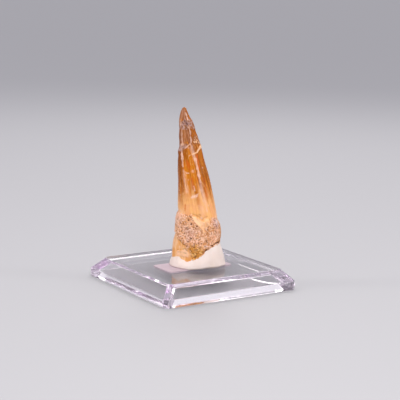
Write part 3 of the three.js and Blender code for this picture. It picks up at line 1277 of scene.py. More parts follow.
    # Red stains in the enamel
    stains: Marks = (
        Stroke(Mark.RED, ((39, 43.6), (39, 41.5), (38, 39.0)), (0.2, 0.35, 0.15), soft=0.3, strength=0.7),
        Stroke(Mark.RED, ((-27, 41.6), (-18, 39.9), (-16, 38.6)), (0.3, 0.4, 0.2), soft=0.4, strength=0.6),
        Stroke(Mark.RED, ((-8, 36.0), (-5, 33.0)), (0.3, 0.4), soft=0.5, strength=0.5),
        Stroke(Mark.RED, ((48, 36.0), (52, 30.0)), (0.3, 0.5), soft=0.6, strength=0.4),
        Stroke(Mark.RED, ((-43, 27.4), (-43, 26.4), (-45, 25.6)),
               (0.2, 0.35, 0.15), soft=0.4, strength=0.75),
    )

    # Chipped flat beside the tip
    tip_chip: Marks = (
        Patch(Mark.DEEP_AND_SHADE, ((44, 58.0), (110, 58.0), (120, 54.7), (58, 54.7)),
              soft=0.15, strength=0.35, rise=-0.18, ragged=0.1),
    )

    # Where the crust starts: a brown painted shadow strip along the top of the cream flake and knob, the
    # flake and the knob, painted shade round the knob, and a painted shadow line under the crust's left edge
    flake_knob_and_painted_shadows: Marks = (
        # Brown painted shadow strip in a shallow dip along the top of the flake and knob
        Stroke(Mark.DEEP_AND_SHADE,
               ((-24, 24.8), (-12, 24.6), (0, 24.2), (10, 23.7), (20, 23.1), (27, 23.5), (37, 23.9)),
               (0.05, 0.12, 0.2, 0.25, 0.2, 0.12, 0.05), soft=0.35, strength=0.42, rise=-0.06,
               ragged=0.15),
        Stroke(Mark.DEEP_AND_SHADE, ((9, 24.5), (13, 24.4)), (0.14, 0.12), soft=0.35, strength=0.55),
        Patch(Mark.CREAM,
              ((-21, 24.3), (-4, 23.7), (8, 23.1), (17, 22.5), (24, 22.3), (28, 21.2), (24, 20.0),
               (20, 18.3), (16, 19.4), (9, 20.6), (-4, 21.3), (-9, 22.7), (-16, 23.6)),
              soft=0.14, rise=0.3, ragged=0.35),
        Stroke(Mark.PALE, ((19, 21.9), (19, 20.6), (20, 19.2)), (0.2, 0.4, 0.2), soft=0.3, strength=0.6),
        Stroke(Mark.CREAM, ((20, 18.6), (21, 17.9)), (0.12, 0.08), strength=0.4),
        Stroke(Mark.CREAM, ((34, 22.4), (33, 21.6)), (0.9, 0.8), strength=0.5, ragged=0.15),
        # Orange rim round the knob's top and right, partly rusty sand and partly painted shade
        Stroke(Mark.RUST, ((30, 23.3), (38, 23.4), (44, 22.6), (43, 21.6)),
               (0.2, 0.25, 0.3, 0.2), strength=0.8),
        # Painted shadow line in a shallow groove under the crust's overhanging left edge
        Stroke(Mark.CRACK_AND_SHADOW, ((-72, 16.8), (-60, 16.0), (-47, 15.1), (-36, 14.2)),
               (0.04, 0.14, 0.16, 0.06), soft=0.15, strength=0.5, rise=-0.12, ragged=0.2),
        # Dark crescent of painted shade in a shallow dent to the right of the knob
        Stroke(Mark.CRACK_AND_SHADOW, ((42, 23.2), (45, 22.5), (43, 21.8)),
               (0.03, 0.1, 0.04), soft=0.15, strength=0.35, rise=-0.15, ragged=0.1),
    )

    # Smoother pale crust on the left and a white lump and mauve sand on the right
    crust_patches: Marks = (
        Patch(Mark.PALE,
              ((-100, 25.4), (-74, 25.3), (-52, 25.8), (-46, 24.4), (-52, 22.2), (-72, 20.6),
               (-100, 20.4)),
              soft=0.7, strength=0.45, ragged=0.8),
        Stroke(Mark.PALE, ((80, 25.0), (80, 24.0), (78, 23.0)), (0.2, 0.35, 0.3), soft=0.25, ragged=0.2),
        Stroke(Mark.CHALK, ((76, 23.5), (74, 22.8), (66, 21.8)),
               (0.3, 0.55, 0.4), soft=0.25, strength=0.8, rise=0.08, ragged=0.5),
        Stroke(Mark.CHALK, ((29, 14.4), (25, 14.5)),
               (0.32, 0.2), soft=0.25, strength=0.6, rise=0.1, ragged=0.3),
        Stroke(Mark.PURPLE, ((58, 22.6), (63, 22.2)), (0.2, 0.24), soft=0.25, strength=0.5),
        Patch(Mark.PALE, ((52, 23.0), (72, 23.2), (86, 23.0), (86, 21.6), (72, 21.8), (58, 22.2)),
              soft=0.35, strength=0.4, rise=0.15, ragged=0.6),
        Patch(Mark.WORN, ((52, 23.2), (80, 22.8), (88, 20.4), (62, 19.4), (50, 21.2)),
              soft=0.6, strength=0.8),
        Patch(Mark.WORN, ((-42, 20.4), (-20, 19.6), (-4, 19.8), (-8, 17.0), (-30, 15.6)),
              soft=0.8, strength=0.6),
    )

    # Rusty sand along the edges
    rusty_sand: Marks = (
        Stroke(Mark.RUST, ((-72, 16.8), (-63, 16.3), (-47, 15.2), (-31, 14.2), (-19, 13.9)),
               (0.7,), soft=0.7, strength=0.8),
        Stroke(Mark.RUST, ((-50, 23.8), (-33, 24.2), (-18, 23.2)), (0.4,), soft=0.5, strength=0.6),
        Stroke(Mark.RUST, ((94, 21.0), (90, 18.0), (84, 15.6)), (1.2,), soft=1.0, strength=0.8),
        Patch(Mark.RUST, ((22, 20.6), (36, 20.4), (37, 17.6), (20, 17.2)), soft=0.6, strength=0.5),
    )

    # Groove where the crust meets the putty, darkened with painted shadow
    putty_groove_shadow: Marks = (
        Stroke(Mark.CRACK_AND_SHADOW, ((20, 12.5), (34, 13.5), (44, 14.3), (50, 14.9), (64, 15.2), (90, 15.2)),
               (0.05, 0.18, 0.34, 0.3, 0.1, 0.06), soft=0.12, strength=0.95, rise=-0.3, ragged=0.8),
    )

    # Golden crystals low on the crust
    crystals: Marks = (
        Patch(Mark.GOLD,
              ((-24, 13.6), (-8, 14.7), (12, 14.3), (24, 13.0), (12, 10.6), (-6, 9.8), (-20, 8.8),
               (-38, 8.4), (-28, 10.6), (-16, 12.0)),
              soft=0.6, strength=0.9, rise=0.1, ragged=0.9),
    )

    # Pink flake and cracks on the root
    root_flake: Marks = (
        Patch(Mark.CREAM, ((-66, 12.2), (-36, 13.2), (-18, 11.7), (-26, 10.7), (-63, 10.9)),
              soft=0.2, strength=0.7, rise=0.15, ragged=0.3),
        Patch(Mark.PALE, ((-64, 12.1), (-36, 13.1), (-20, 11.7), (-27, 10.8), (-62, 11.0)),
              soft=0.25, strength=0.75),
        Stroke(Mark.CRACK_AND_SHADOW, ((-66, 12.5), (-50, 12.9), (-36, 13.4), (-22, 12.2)),
               (0.03, 0.06), soft=0.1, strength=0.55, rise=-0.1),
        Stroke(Mark.CRACK_AND_SHADOW, ((-60, 11.9), (-44, 12.2), (-30, 11.8)),
               (0.02, 0.05), soft=0.1, strength=0.4, rise=-0.06),
        Patch(Mark.PALE, ((-88, 16.8), (-70, 16.2), (-64, 14.6), (-74, 13.2), (-88, 13.4)),
              soft=0.6, strength=0.35),
    )

    # Flakes and cracks on the back
    back_marks: Marks = (
        Patch(Mark.CREAM, ((-150, 14.8), (-128, 15.4), (-116, 13.6), (-136, 12.8)),
              soft=0.25, strength=0.6, rise=0.12, ragged=0.3),
        Stroke(Mark.CRACK_AND_SHADOW, ((-164, 12.2), (-148, 13.4), (-140, 15.6), (-122, 16.4)),
               (0.03, 0.07), soft=0.1, strength=0.5, rise=-0.1),
        Stroke(Mark.CRACK_AND_SHADOW, ((-170, 38.0), (-164, 33.5), (-168, 29.0), (-160, 25.0)),
               (0.02, 0.05), soft=0.1, strength=0.45, rise=-0.08),
        Stroke(Mark.CREAM, ((112, 40.2), (128, 41.0), (146, 40.4)),
               (0.05, 0.16, 0.08), soft=0.12, strength=0.9, rise=0.06, ragged=0.15),
    )

    # Dark pits that stand out in the crust, by angle, height and half width
    dark_pits: Marks = tuple(
        Stroke(Mark.PIT, ((angle, height),), (half,), soft=0.12, rise=-0.15, ragged=0.1)
        for angle, height, half in (
            (-20, 21.5, 0.26), (-29, 22.7, 0.2), (-2, 20.8, 0.24), (-33, 20.2, 0.26), (-59, 21.6, 0.18),
            (-36, 24.3, 0.14), (-27, 24.2, 0.16), (-20, 23.9, 0.12), (-43, 23.9, 0.12), (-50, 19.0, 0.2),
            (-40, 18.3, 0.18), (-18, 16.9, 0.24), (-24, 15.8, 0.18), (-8, 14.1, 0.2), (57, 19.0, 0.2),
            (64, 20.6, 0.18), (77, 20.3, 0.2), (-37, 22.0, 0.16), (14, 15.3, 0.18), (29, 16.1, 0.2),
        )
    )

    # Angle, height, reach and rise of chips (below 0) and lumps
    chips: tuple[tuple[float, float, float, float], ...] = (
        (-86, 49.4, 2.6, 0.2), (-88, 44.3, 1.6, 0.3), (-88, 42.2, 3.2, 0.28), (-88, 39.0, 4.2, 0.3),
        (70, 50.8, 1.6, -0.3), (35, 47.2, 1.4, -0.3), (55, 45.6, 1.0, 0.2), (170, 45.0, 2.4, -0.4),
        (-10, 53.0, 1.6, -0.25), (33, 22.2, 1.6, 0.6), (-88, 24.5, 2.4, -0.35), (88, 20.6, 1.6, -0.1),
        (88, 16.8, 2.4, 0.22), (88, 13.4, 5.0, -0.6), (-8, 12.6, 2.0, 0.3), (-88, 18.2, 4.0, -0.35),
    )

    def outline_at(self, height: np.ndarray) -> tuple[np.ndarray, np.ndarray]:
        """Half width and lean of the bare tooth.

        Args:
            height: The heights.

        Returns:
            The half widths and the leans.
        """
        knots, half, lean = np.array(self.outline).T
        held = np.clip(height, self.foot, self.tip)
        return np.maximum(curve_through(held, knots, half), 0), curve_through(held, knots, lean)

    def ridge_turn(self, height: np.ndarray) -> np.ndarray:
        """How far the ridges have turned round the tooth at each height, in degrees."""
        return self.ridge_twist_deg * (self.ridge_start_height - height)

    def crown_radius(self, around: np.ndarray, height: np.ndarray) -> np.ndarray:
        """Radius of the bare oval tooth with its ridges.

        Args:
            around: Angles round from the front, in degrees.
            height: The heights.

        Returns:
            The radii.
        """
        half, _ = self.outline_at(height)
        angle = np.radians(around)
        oval = self.depth_ratio / np.hypot(self.depth_ratio * np.sin(angle), np.cos(angle))
        ridge = self.ridge_start_deg + self.ridge_turn(height)
        wave = np.sin(self.ridge_count * np.radians(around - ridge) / 2)
        hollow = np.sqrt(wave**2 + self.ridge_round**2) - self.ridge_round
        return half * oval * (1 - self.facet_hollow * hollow)

    def crust_cover(self, around: np.ndarray, height: np.ndarray, ragged: np.ndarray | float,
                    top_fade: float) -> np.ndarray:
        """How much crust covers each place.

        Args:
            around: Angles round from the front, in degrees.
            height: The heights.
            ragged: How far the crust's edge wanders at each place.
            top_fade: Width of the crust's fading upper edge.

        Returns:
            0 on bare tooth to 1 well inside the crust.
        """
        below = table_at(around, self.crust_top) - height + ragged
        above = height - table_at(around, self.crust_foot) + ragged
        return smoothstep(np.minimum(below / top_fade, above / self.crust_foot_fade), 0, 1)

    def facet_tone(self, around: np.ndarray, height: np.ndarray) -> np.ndarray:
        """How dark the enamel's facet is at each place, with a crisp change at each ridge: partly its own
        colour and partly painted shade.

        Args:
            around: Angles round from the front, in degrees.
            height: The heights.

        Returns:
            The tones, from 0 to 1.
        """
        ridge = self.ridge_start_deg + self.ridge_turn(height)
        facet = (around - ridge) * self.ridge_count / 360
        sides = (self.facet_share, 1 - self.facet_share)
        knots = [index + side for index in range(self.ridge_count) for side in sides]
        return np.interp(facet, knots, np.repeat(self.facet_colour_and_shade, 2), period=self.ridge_count)

    def smooth_radius(self, around: np.ndarray, height: np.ndarray) -> np.ndarray:
        """Radius of the tooth with its crust, without grains, chips or marks."""
        crust = self.crust_cover(around, height, 0, self.crust_top_fade)
        return self.crown_radius(around, height) + self.crust_thickness * crust

    def standing(self, around: np.ndarray, height: np.ndarray, radius: np.ndarray) -> np.ndarray:
        """Points at a radius round the tooth's leaning middle line, where the tooth stands.

        Args:
            around: Angles round from the front, in degrees.
            height: The heights.
            radius: The radii.

        Returns:
            Rows of three coordinates.
        """
        _, lean = self.outline_at(height)
        angle, turn = np.radians(around), math.radians(self.turn_deg)
        side, depth = lean + radius * np.sin(angle), -radius * np.cos(angle)
        return np.stack((
            self.foot_at[0] + side * math.cos(turn) - depth * math.sin(turn),
            self.foot_at[1] + side * math.sin(turn) + depth * math.cos(turn),
            height,
        ), axis=-1)

    def heights(self) -> np.ndarray:
        """Lays out the rows from foot to tip, with a closing row on the axis at each end.

        Returns:
            The rows' heights.
        """
        rows = [self.foot, self.foot]
        start = self.foot
        for end, count in self.stretches:
            rows += [start + (end - start) * row / count for row in range(1, count + 1)]
            start = end
        return np.array(rows)

    def marks(self) -> Marks:
        """Gathers the marks of every feature.

        Returns:
            The marks.
        """
        return (
            *self.right_ridge_wear_and_highlight, *self.left_ridge_wear_and_highlight, *self.tip_wear, *self.front_flecks_and_glint,
            *self.break_wear, *self.healed_cracks, *self.stains, *self.tip_chip, *self.flake_knob_and_painted_shadows,
            *self.crust_patches, *self.rusty_sand, *self.putty_groove_shadow, *self.crystals, *self.root_flake,
            *self.back_marks, *self.dark_pits,
        )

    def covers(self, at: Points, ragged: np.ndarray) -> tuple[dict[Mark, np.ndarray], np.ndarray]:
        """Works out where the marks are and how far they stand out.

        Args:
            at: The points.
            ragged: Noise that makes edges ragged.

        Returns:
            The cover of each kind of mark, and the rise at each point.
        """
        cover = {kind: np.zeros(len(at.height)) for kind in Mark}
        rise = np.zeros(len(at.height))
        for mark in self.marks():
            edge = mark.reach(at) + mark.ragged * ragged
            share = smoothstep(edge, mark.soft, -mark.soft)
            cover[mark.kind] = np.maximum(cover[mark.kind], mark.strength * share)
            rise += mark.rise * share
        return cover, rise

    def chip_depth(self, at: Points) -> np.ndarray:
        """Rise of the chips and lumps.

        Args:
            at: The points.

        Returns:
            The rises.
        """
        total = np.zeros(len(at.height))
        for angle, height, reach, rise in self.chips:
            total += rise * smoothstep(np.hypot(at.across(angle), at.height - height), reach, 0)
        return total

    def add_tones(self, cover: dict[Mark, np.ndarray], at: Points, ragged: np.ndarray) -> None:
        """Adds the bare root, the peach above the crust and the darker facets of the upper crown, which are
        partly painted shade.

        Args:
            cover: The cover of each kind of mark.
            at: The points.
            ragged: Noise that makes edges ragged.
        """
        above_root = at.height + self.root_ragged * ragged - table_at(at.around, self.crust_foot)
        cover[Mark.ROOT] = smoothstep(above_root, self.root_fade, 0)
        flow = self.flow_points(at.around, at.height)
        streaks = self.peach_streak_reach * noise_at(flow * self.peach_streaks, 1.0, self.peach_streak_seed)
        above_peach = at.height + ragged + streaks - table_at(at.around, self.peach_top)
        cover[Mark.PEACH] = smoothstep(above_peach, 0, -self.peach_fade)
        upper = smoothstep(at.height + ragged, *self.tones_start) * smoothstep(at.height, *self.tones_end)
        # The darker facets, partly painted shade, join the deep amber cover
        cover[Mark.DEEP_AND_SHADE] = np.maximum(cover[Mark.DEEP_AND_SHADE], self.facet_tone(at.around, at.height) * upper)

    def add_specks(self, cover: dict[Mark, np.ndarray], points: np.ndarray, bare: np.ndarray) -> None:
        """Adds pale flecks on the enamel and rusty patches in the crust.

        Args:
            cover: The cover of each kind of mark.
            points: Points on the smooth tooth.
            bare: 1 where there is no crust.
        """
        flecks = self.fleck_cover * pits_at(points, self.fleck_spacing, self.fleck_share)
        flecks *= smoothstep(points[:, 2], *self.flecks_start)
        cover[Mark.PALE] = np.maximum(cover[Mark.PALE], flecks * bare)
        patches = smoothstep(noise_at(points, self.rust_size, self.rust_seed), *self.rust_start)
        cover[Mark.RUST] = np.maximum(cover[Mark.RUST], self.rust_cover * patches)

    def build(self) -> bpy.types.Object:
        """Models the tooth.

        Returns:
            The piece.
        """
        heights = self.heights()
        skin = spun_skin(len(heights), self.sides)
        around, row, off_axis = read_skin(skin)
        height = heights[row]
        at = Points(around, height, self.smooth_radius(around, height))
        points = self.standing(around, height, at.radius)
        ragged = layers_at(points, self.wander)
        cover, rise = self.covers(at, ragged)
        sandy = self.crust_cover(around, height, self.sand_ragged * ragged, self.crust_colour_fade)
        cover[Mark.CRUST] = sandy * (1 - cover[Mark.CREAM])
        self.add_tones(cover, at, ragged)
        self.add_specks(cover, points, 1 - sandy)
        pits, grains = self.grains(points, cover)
        cover[Mark.PIT] = np.maximum(cover[Mark.PIT], pits)
        crust = self.crust_cover(around, height, self.form_ragged * ragged, self.crust_top_fade)
        fibres = self.fibres(around, height) * (1 - crust)
        bare = self.crown_radius(around, height) + self.crust_thickness * crust
        rough = rise + self.chip_depth(at) + grains + fibres
        shaped = np.maximum(bare + rough, self.least_radius) * off_axis
        place_points(skin, self.standing(around, height, shaped))
        piece = add_piece("fossil_tooth", skin, "tooth")
        self.store(piece, cover, around, height)
        piece.data.shade_smooth()
        return piece

    def grains(self, points: np.ndarray, cover: dict[Mark, np.ndarray]) -> tuple[np.ndarray, np.ndarray]:
        """Sand grains, lumps and pits of the crust.

        Args:
            points: Points on the smooth tooth.
            cover: The cover of each kind of mark.

        Returns:
            The cover of the pits, and the rise at each point.
        """
        crystals = self.crystal_height * (cells_at(points, self.crystal_size) - 0.5)
        pits = pits_at(points, self.pit_spacing, self.pit_share)
        share = cover[Mark.CRUST] * (1 - self.pale_crust_smooths * cover[Mark.PALE])
        texture = layers_at(points, self.sand) + cover[Mark.GOLD] * crystals - self.pit_depth * pits
        return self.pit_cover * share * pits, share * (layers_at(points, self.lumps) + texture)

    def fibres(self, around: np.ndarray, height: np.ndarray) -> np.ndarray:
        """Rises of the enamel's fine lengthwise wrinkles."""
        flow = self.flow_points(around, height) * self.fibre_fineness
        return self.fibre_depth * noise_at(flow, 1.0)

    def flow_points(self, around: np.ndarray, height: np.ndarray) -> np.ndarray:
        """Coordinates that follow the ridges: sine and cosine of the angle from a ridge, and height.

        Args:
            around: Angles round from the front, in degrees.
            height: The heights.

        Returns:
            Rows of three coordinates.
        """
        angle = np.radians(around - self.ridge_turn(height))
        return np.stack((np.sin(angle), -np.cos(angle), height), axis=-1)

    def store(self, piece: bpy.types.Object, cover: dict[Mark, np.ndarray], around: np.ndarray,
              height: np.ndarray) -> None:
        """Keeps the covers and the flow on the mesh for the finish to read.

        Args:
            piece: The tooth.
            cover: The cover of each kind of mark.
            around: Angles round from the front, in degrees.
            height: The heights.
        """
        attributes = piece.data.attributes
        for kind, share in cover.items():
            held = attributes.new(kind.value, "FLOAT", "POINT")
            held.data.foreach_set("value", share.astype(np.float32))
        flow = attributes.new(FLOW, "FLOAT_VECTOR", "POINT")
        flow.data.foreach_set("vector", self.flow_points(around, height).astype(np.float32).ravel())

    def dress(self, piece: bpy.types.Object, mottling: bpy.types.NodeTree) -> None:
        """Gives the tooth its finish."""
        piece.data.materials.append(FossilFinish().make(mottling))


@dataclass
class Putty:
    """Putty pressed round the tooth's foot, with a ragged upper edge and finger dents."""

    tooth: Tooth
    sides: int = 320

    # How far the putty stands clear of the pad, and its pocket's floor below the tooth's foot
    pad_gap: float = 0.02
    pocket_gap: float = 0.1
    foot: float = packed_heights("pad")[1] + pad_gap

    # Rows from the underside's middle and ring up the wall, over the lip and down to the pocket floor's ring
    # and middle, how close the wall's rows crowd at its foot, and the underside ring's share of the radius
    underside_rows: int = 2
    wall_rows: int = 46
    lip_rows: int = 8
    pocket_rows: int = 2
    row_crowding: float = 1.6
    underside_ring: float = 0.6

    foot_thickness: float = 1.15
    edge_thickness: float = 0.14
    bulge: float = 0.25
    top_edge: tuple[Place, ...] = (
        (-180, 11.5), (-130, 10.5), (-90, 10.0), (-55, 10.2), (-42, 9.6), (-28, 9.0), (-18, 9.4),
        (-8, 10.4), (6, 10.8), (16, 11.8), (40, 13.6), (60, 14.6), (90, 14.6), (130, 13.2), (180, 11.5),
    )

    # How far the putty stands out at each angle for the crust under it, and how far its lip stands off
    crust_allowance: tuple[Place, ...] = (
        (-180, 0.3), (-90, -0.4), (-40, 0.1), (10, 0.5), (50, 0.3), (80, -0.1), (100, -0.1), (140, 0.4),
        (180, 0.3),
    )
    lip_gap: tuple[Place, ...] = (
        (-180, -0.25), (15, -0.25), (40, 0.1), (100, 0.0), (130, -0.25), (180, -0.25),
    )

    # How far the foot is tucked in under the wall, most at the front right where it passes the pad's edge
    foot_tuck: tuple[Place, ...] = (
        (-180, 0.5), (-20, 0.5), (12, 1.2), (30, 2.2), (45, 2.4), (70, 2.4), (85, 1.6), (105, 0.6),
        (180, 0.5),
    )
    least_tuck: float = 0.5

    # How far a deeper tuck lifts the foot, and how high the tucked rounding is at least and for each tuck
    tuck_lift: float = 0.06
    tuck_height: float = 0.33
    tuck_height_share: float = 0.35

    # How much further the putty spreads at its foot, and how fast that dies away up the wall
    foot_flare: tuple[Place, ...] = ((-180, 0.0), (30, 0.0), (80, 0.75), (105, 0.7), (150, 0.0), (180, 0.0))
    flare_fall: float = 1.5

    # Finger dents, how far up the wall they come in, and tears of the upper edge, read round a ring
    dents: tuple[Layer, ...] = ((0.16, 4.0, 17.0), (0.05, 1.3, 19.0))
    dents_start: float = 0.2
    tears: tuple[Layer, ...] = ((0.26, 1.6, 23.0), (0.22, 0.7, 29.0), (0.12, 0.36, 53.0))
    tear_ring: float = 8.0

    def base_radius(self, around: np.ndarray, height: np.ndarray) -> np.ndarray:
        """Radius of the smooth form that the putty is pressed round."""
        return self.tooth.crown_radius(around, height) + table_at(around, self.crust_allowance)

    def build(self) -> bpy.types.Object:
        """Models the putty as a cup that holds the tooth's foot.

        Returns:
            The piece.
        """
        last_wall = self.underside_rows + self.wall_rows
        last_lip = last_wall + self.lip_rows
        skin = spun_skin(last_lip + 1 + self.pocket_rows, self.sides)
        around, row, off_axis = read_skin(skin)
        share = np.clip((row - self.underside_rows) / self.wall_rows, 0, 1) ** self.row_crowding
        curl = np.clip((row - last_wall) / self.lip_rows, 0, 1)
        top = self.ragged_top(around)
        tuck = table_at(around, self.foot_tuck)
        foot = self.foot + np.where(row >= self.underside_rows, self.tuck_lift * (tuck - self.least_tuck), 0)
        height = foot + (top - foot) * share
        height = np.where(row > last_wall, top + np.sin(np.pi * curl) * self.edge_thickness, height)
        height = np.where(row > last_lip, self.tooth.foot - self.pocket_gap, height)
        gap = table_at(around, self.lip_gap)
        flare = table_at(around, self.foot_flare) * (1 - share) ** self.flare_fall
        edge = self.thickness(share, height - foot, tuck) + flare + np.maximum(gap, 0)
        radius = self.base_radius(around, height) + edge * (1 - curl) + gap * curl
        radius *= off_axis * np.where(row < self.underside_rows, self.underside_ring, 1.0)
        dents = layers_at(self.tooth.standing(around, height, radius), self.dents)
        pressed = (share > 0) & (row <= last_wall + self.lip_rows // 2)
        radius = radius + np.where(pressed, dents * smoothstep(share, 0, self.dents_start), 0)
        place_points(skin, self.tooth.standing(around, height, radius))
        bmesh.ops.recalc_face_normals(skin, faces=skin.faces)
        piece = add_piece("mounting_putty", skin, "putty")
        piece.data.shade_smooth()
        return piece

    def ragged_top(self, around: np.ndarray) -> np.ndarray:
        """Height of the putty's upper edge, with small tears.

        Args:
            around: Angles round from the front, in degrees.

        Returns:
            The heights.
        """
        angle = np.radians(around)
        ring = self.tear_ring * np.stack((np.sin(angle), np.cos(angle), np.zeros(len(angle))), axis=-1)
        return table_at(around, self.top_edge) + layers_at(ring, self.tears)

    def thickness(self, share: np.ndarray, above: np.ndarray, tuck: np.ndarray) -> np.ndarray:
        """How far the putty stands out from the tooth.

        Args:
            share: How far up the wall each point is, from 0 to 1.
            above: Heights above the putty's foot.
            tuck: How far the foot is tucked in under the wall.

        Returns:
            The thicknesses.
        """
        wall = self.foot_thickness + (self.edge_thickness - self.foot_thickness) * share
        low = np.clip(1 - above / (self.tuck_height + self.tuck_height_share * tuck), 0, 1)
        under = tuck * (1 - np.sqrt(1 - low**2))
        return wall + self.bulge * np.sin(np.pi * share) - under

    def dress(self, piece: bpy.types.Object, mottling: bpy.types.NodeTree) -> None:
        """Gives the putty its finish."""
        piece.data.materials.append(PuttyFinish().make(mottling))


@dataclass
class Pad:
    """Thin adhesive pad between the putty and the base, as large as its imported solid."""

    # How far the pad fills the gap that its solid leaves above the base
    gap_filled: float = 0.03

    corner_radius: float = 1.1
    corner_faces: int = 6
    edge_round: float = 0.12
    edge_faces: int = 3

    def build(self) -> bpy.types.Object:
        """Models the pad as a plate with round corners and a soft upper edge.

        Returns:
            The piece.
        """
        low, high = (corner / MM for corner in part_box("pad"))
        low.z -= self.gap_filled
        plate = bmesh.new()
        bmesh.ops.create_cube(plate, size=1.0)
        bmesh.ops.scale(plate, vec=high - low, verts=plate.verts)
        upright = [edge for edge in plate.edges if edge.verts[0].co.z * edge.verts[1].co.z < 0]
        round_edges(plate, upright, self.corner_radius, self.corner_faces)
        rim = [edge for edge in plate.edges if all(vertex.co.z > 0 for vertex in edge.verts)]
        round_edges(plate, rim, self.edge_round, self.edge_faces)
        bmesh.ops.translate(plate, vec=(low + high) / 2, verts=plate.verts)
        return add_piece("adhesive_pad", plate, "pad")

    def dress(self, piece: bpy.types.Object, mottling: bpy.types.NodeTree) -> None:
        """Gives the pad its finish."""
        piece.data.materials.append(PadFinish().make(mottling))


@dataclass
class Base:
    """Clear moulded base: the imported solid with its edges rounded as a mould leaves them."""

    edge_round: float = 0.16
    edge_faces: int = 3
    flat_within_deg: float = 3.0
    merge_within: float = 0.001

    def build(self) -> bpy.types.Object:
        """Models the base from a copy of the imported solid.

        Returns:
            The piece.
        """
        body = bmesh.new()
        body.from_mesh(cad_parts["base"].data)
        bmesh.ops.scale(body, vec=(1 / MM, 1 / MM, 1 / MM), verts=body.verts)
        bmesh.ops.remove_doubles(body, verts=body.verts, dist=self.merge_within)
        flat = math.radians(self.flat_within_deg)
        bmesh.ops.dissolve_limit(body, angle_limit=flat, verts=body.verts, edges=body.edges)
        sharp = [edge for edge in body.edges if edge.calc_face_angle(0) > flat]
        for face in round_edges(body, sharp, self.edge_round, self.edge_faces):
            face.smooth = True
        return add_piece("clear_base", body, "base")

    def dress(self, piece: bpy.types.Object) -> None:
        """Gives the base its finish."""
        piece.data.materials.append(ClearFinish().make())


@dataclass(frozen=True)
class Softbox:
    """A soft studio lamp, placed from the camera's point of view.

    Attributes:
        name: The lamp's name.
        right: How far it stands to the camera's right of the object, in metres.
        up: How far it stands above the floor, in metres.
        near: How far it stands towards the camera, in metres.
        width: Its width, in metres.
        height: Its height, in metres.
        power: Its power, in watts.
        colour: Its colour.
    """

    name: str
    right: float
    up: float
    near: float
    width: float
    height: float
    power: float
    colour: Colour = (1.0, 0.97, 0.94)


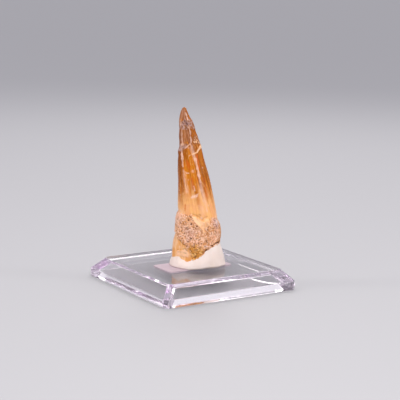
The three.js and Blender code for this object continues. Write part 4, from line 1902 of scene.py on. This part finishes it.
@dataclass
class Studio:
    """Floor, soft lamps and the camera at the photograph's viewing angle."""

    azimuth_deg: float = -32.87
    elevation_deg: float = 10.39
    roll_deg: float = 1.05
    eye: tuple[float, float, float] = (-0.20977, -0.32916, 0.0992)
    focal_pixels: float = 1211.0
    sensor_mm: float = 36.0
    nearest: float = 0.01
    floor_side: float = 14.0
    floor_drop: float = 0.00006
    aim: tuple[float, float, float] = (0.0, 0.0, 0.025)
    horizon: Colour = (0.28, 0.28, 0.30)
    zenith: Colour = (0.88, 0.86, 0.92)
    zenith_from: float = 0.8
    bounces: int = 64
    lamps: tuple[Softbox, ...] = (
        Softbox("key", 0.06, 0.36, 0.46, 0.22, 0.22, 1.6),
        Softbox("left_strip", -0.40, 0.22, 0.06, 0.06, 0.36, 0.5),
        Softbox("right_strip", 0.40, 0.24, 0.10, 0.06, 0.36, 0.38),
        Softbox("back", 0.05, 0.40, -0.42, 0.40, 0.20, 0.8),
    )

    def axes(self) -> tuple[Vector, Vector, Vector]:
        """Works out which way the camera looks.

        Returns:
            Its level right, its up and its backward direction.
        """
        azimuth, elevation = math.radians(self.azimuth_deg), math.radians(self.elevation_deg)
        back = Vector((math.sin(azimuth) * math.cos(elevation), -math.cos(azimuth) * math.cos(elevation),
                       math.sin(elevation)))
        right = (-back).cross(Vector((0, 0, 1))).normalized()
        return right, right.cross(-back), back

    def add_camera(self) -> None:
        """Sets the camera where the photograph was taken from."""
        right, up, back = self.axes()
        roll = math.radians(self.roll_deg)
        across = right * math.cos(roll) + up * math.sin(roll)
        upward = up * math.cos(roll) - right * math.sin(roll)
        data = bpy.data.cameras.new("camera")
        data.sensor_width = self.sensor_mm
        data.lens = self.sensor_mm * self.focal_pixels / PHOTO_SIDE
        data.clip_start = self.nearest
        camera = add_object("camera", data)
        turn = Matrix((across, upward, back)).transposed().to_4x4()
        camera.matrix_world = Matrix.Translation(self.eye) @ turn
        bpy.context.scene.camera = camera

    def add_floor(self) -> None:
        """Lays the plain floor just under the object."""
        sheet = bmesh.new()
        bmesh.ops.create_grid(sheet, x_segments=1, y_segments=1, size=self.floor_side / 2)
        bmesh.ops.translate(sheet, vec=(0, 0, -self.floor_drop), verts=sheet.verts)
        data = bpy.data.meshes.new("floor")
        sheet.to_mesh(data)
        sheet.free()
        data.materials.append(FloorFinish().make())
        add_object("floor", data)

    def add_lamps(self) -> None:
        """Sets up the softboxes."""
        right, _, back = self.axes()
        near = Vector((back.x, back.y, 0)).normalized()
        for box in self.lamps:
            data = bpy.data.lights.new(box.name, "AREA")
            data.shape = "RECTANGLE"
            data.size, data.size_y = box.width, box.height
            data.energy = box.power
            data.color = box.colour
            lamp = add_object(box.name, data)
            lamp.location = right * box.right + near * box.near + Vector((0, 0, box.up))
            aim = lamp.location - Vector(self.aim)
            lamp.rotation_euler = aim.to_track_quat("Z", "Y").to_euler()

    def add_surround(self) -> None:
        """Makes the surroundings a soft white tent, brighter overhead than at the horizon."""
        world = bpy.data.worlds.new("surround")
        world.use_nodes = True
        graph = Graph(world.node_tree)
        parts = graph.node("ShaderNodeSeparateXYZ")
        graph.feed(parts.inputs[0], graph.node("ShaderNodeTexCoord").outputs["Generated"])
        upward = graph.ramp(parts.outputs["Z"], 0.0, self.zenith_from)
        colour = graph.tint(upward, self.horizon, self.zenith)
        graph.fill(world.node_tree.nodes["Background"], Color=colour)
        bpy.context.scene.world = world

    def allow_bounces(self) -> None:
        """Lets light bounce inside the clear base until it comes out again."""
        paths = bpy.context.scene.cycles
        paths.max_bounces = self.bounces
        paths.transmission_bounces = self.bounces
        paths.glossy_bounces = self.bounces

    def build(self) -> None:
        """Sets up the camera, the floor and the light."""
        self.add_camera()
        self.add_floor()
        self.add_lamps()
        self.add_surround()
        self.allow_bounces()
        bpy.context.scene.view_settings.view_transform = "Standard"


def report(piece: bpy.types.Object) -> None:
    """Logs a finished piece and its number of faces."""
    log.info("%s: %d faces", piece.name, len(piece.data.polygons))


def main() -> None:
    """Builds the studio, then each piece from the base upwards."""
    logging.basicConfig(level=logging.INFO, format="%(message)s")
    Studio().build()
    mottling = mottling_group()
    base = Base()
    clear_base = base.build()
    base.dress(clear_base)
    report(clear_base)
    tooth = Tooth()
    for part in (Pad(), Putty(tooth), tooth):
        piece = part.build()
        part.dress(piece, mottling)
        report(piece)


if __name__ == "__main__":
    main()
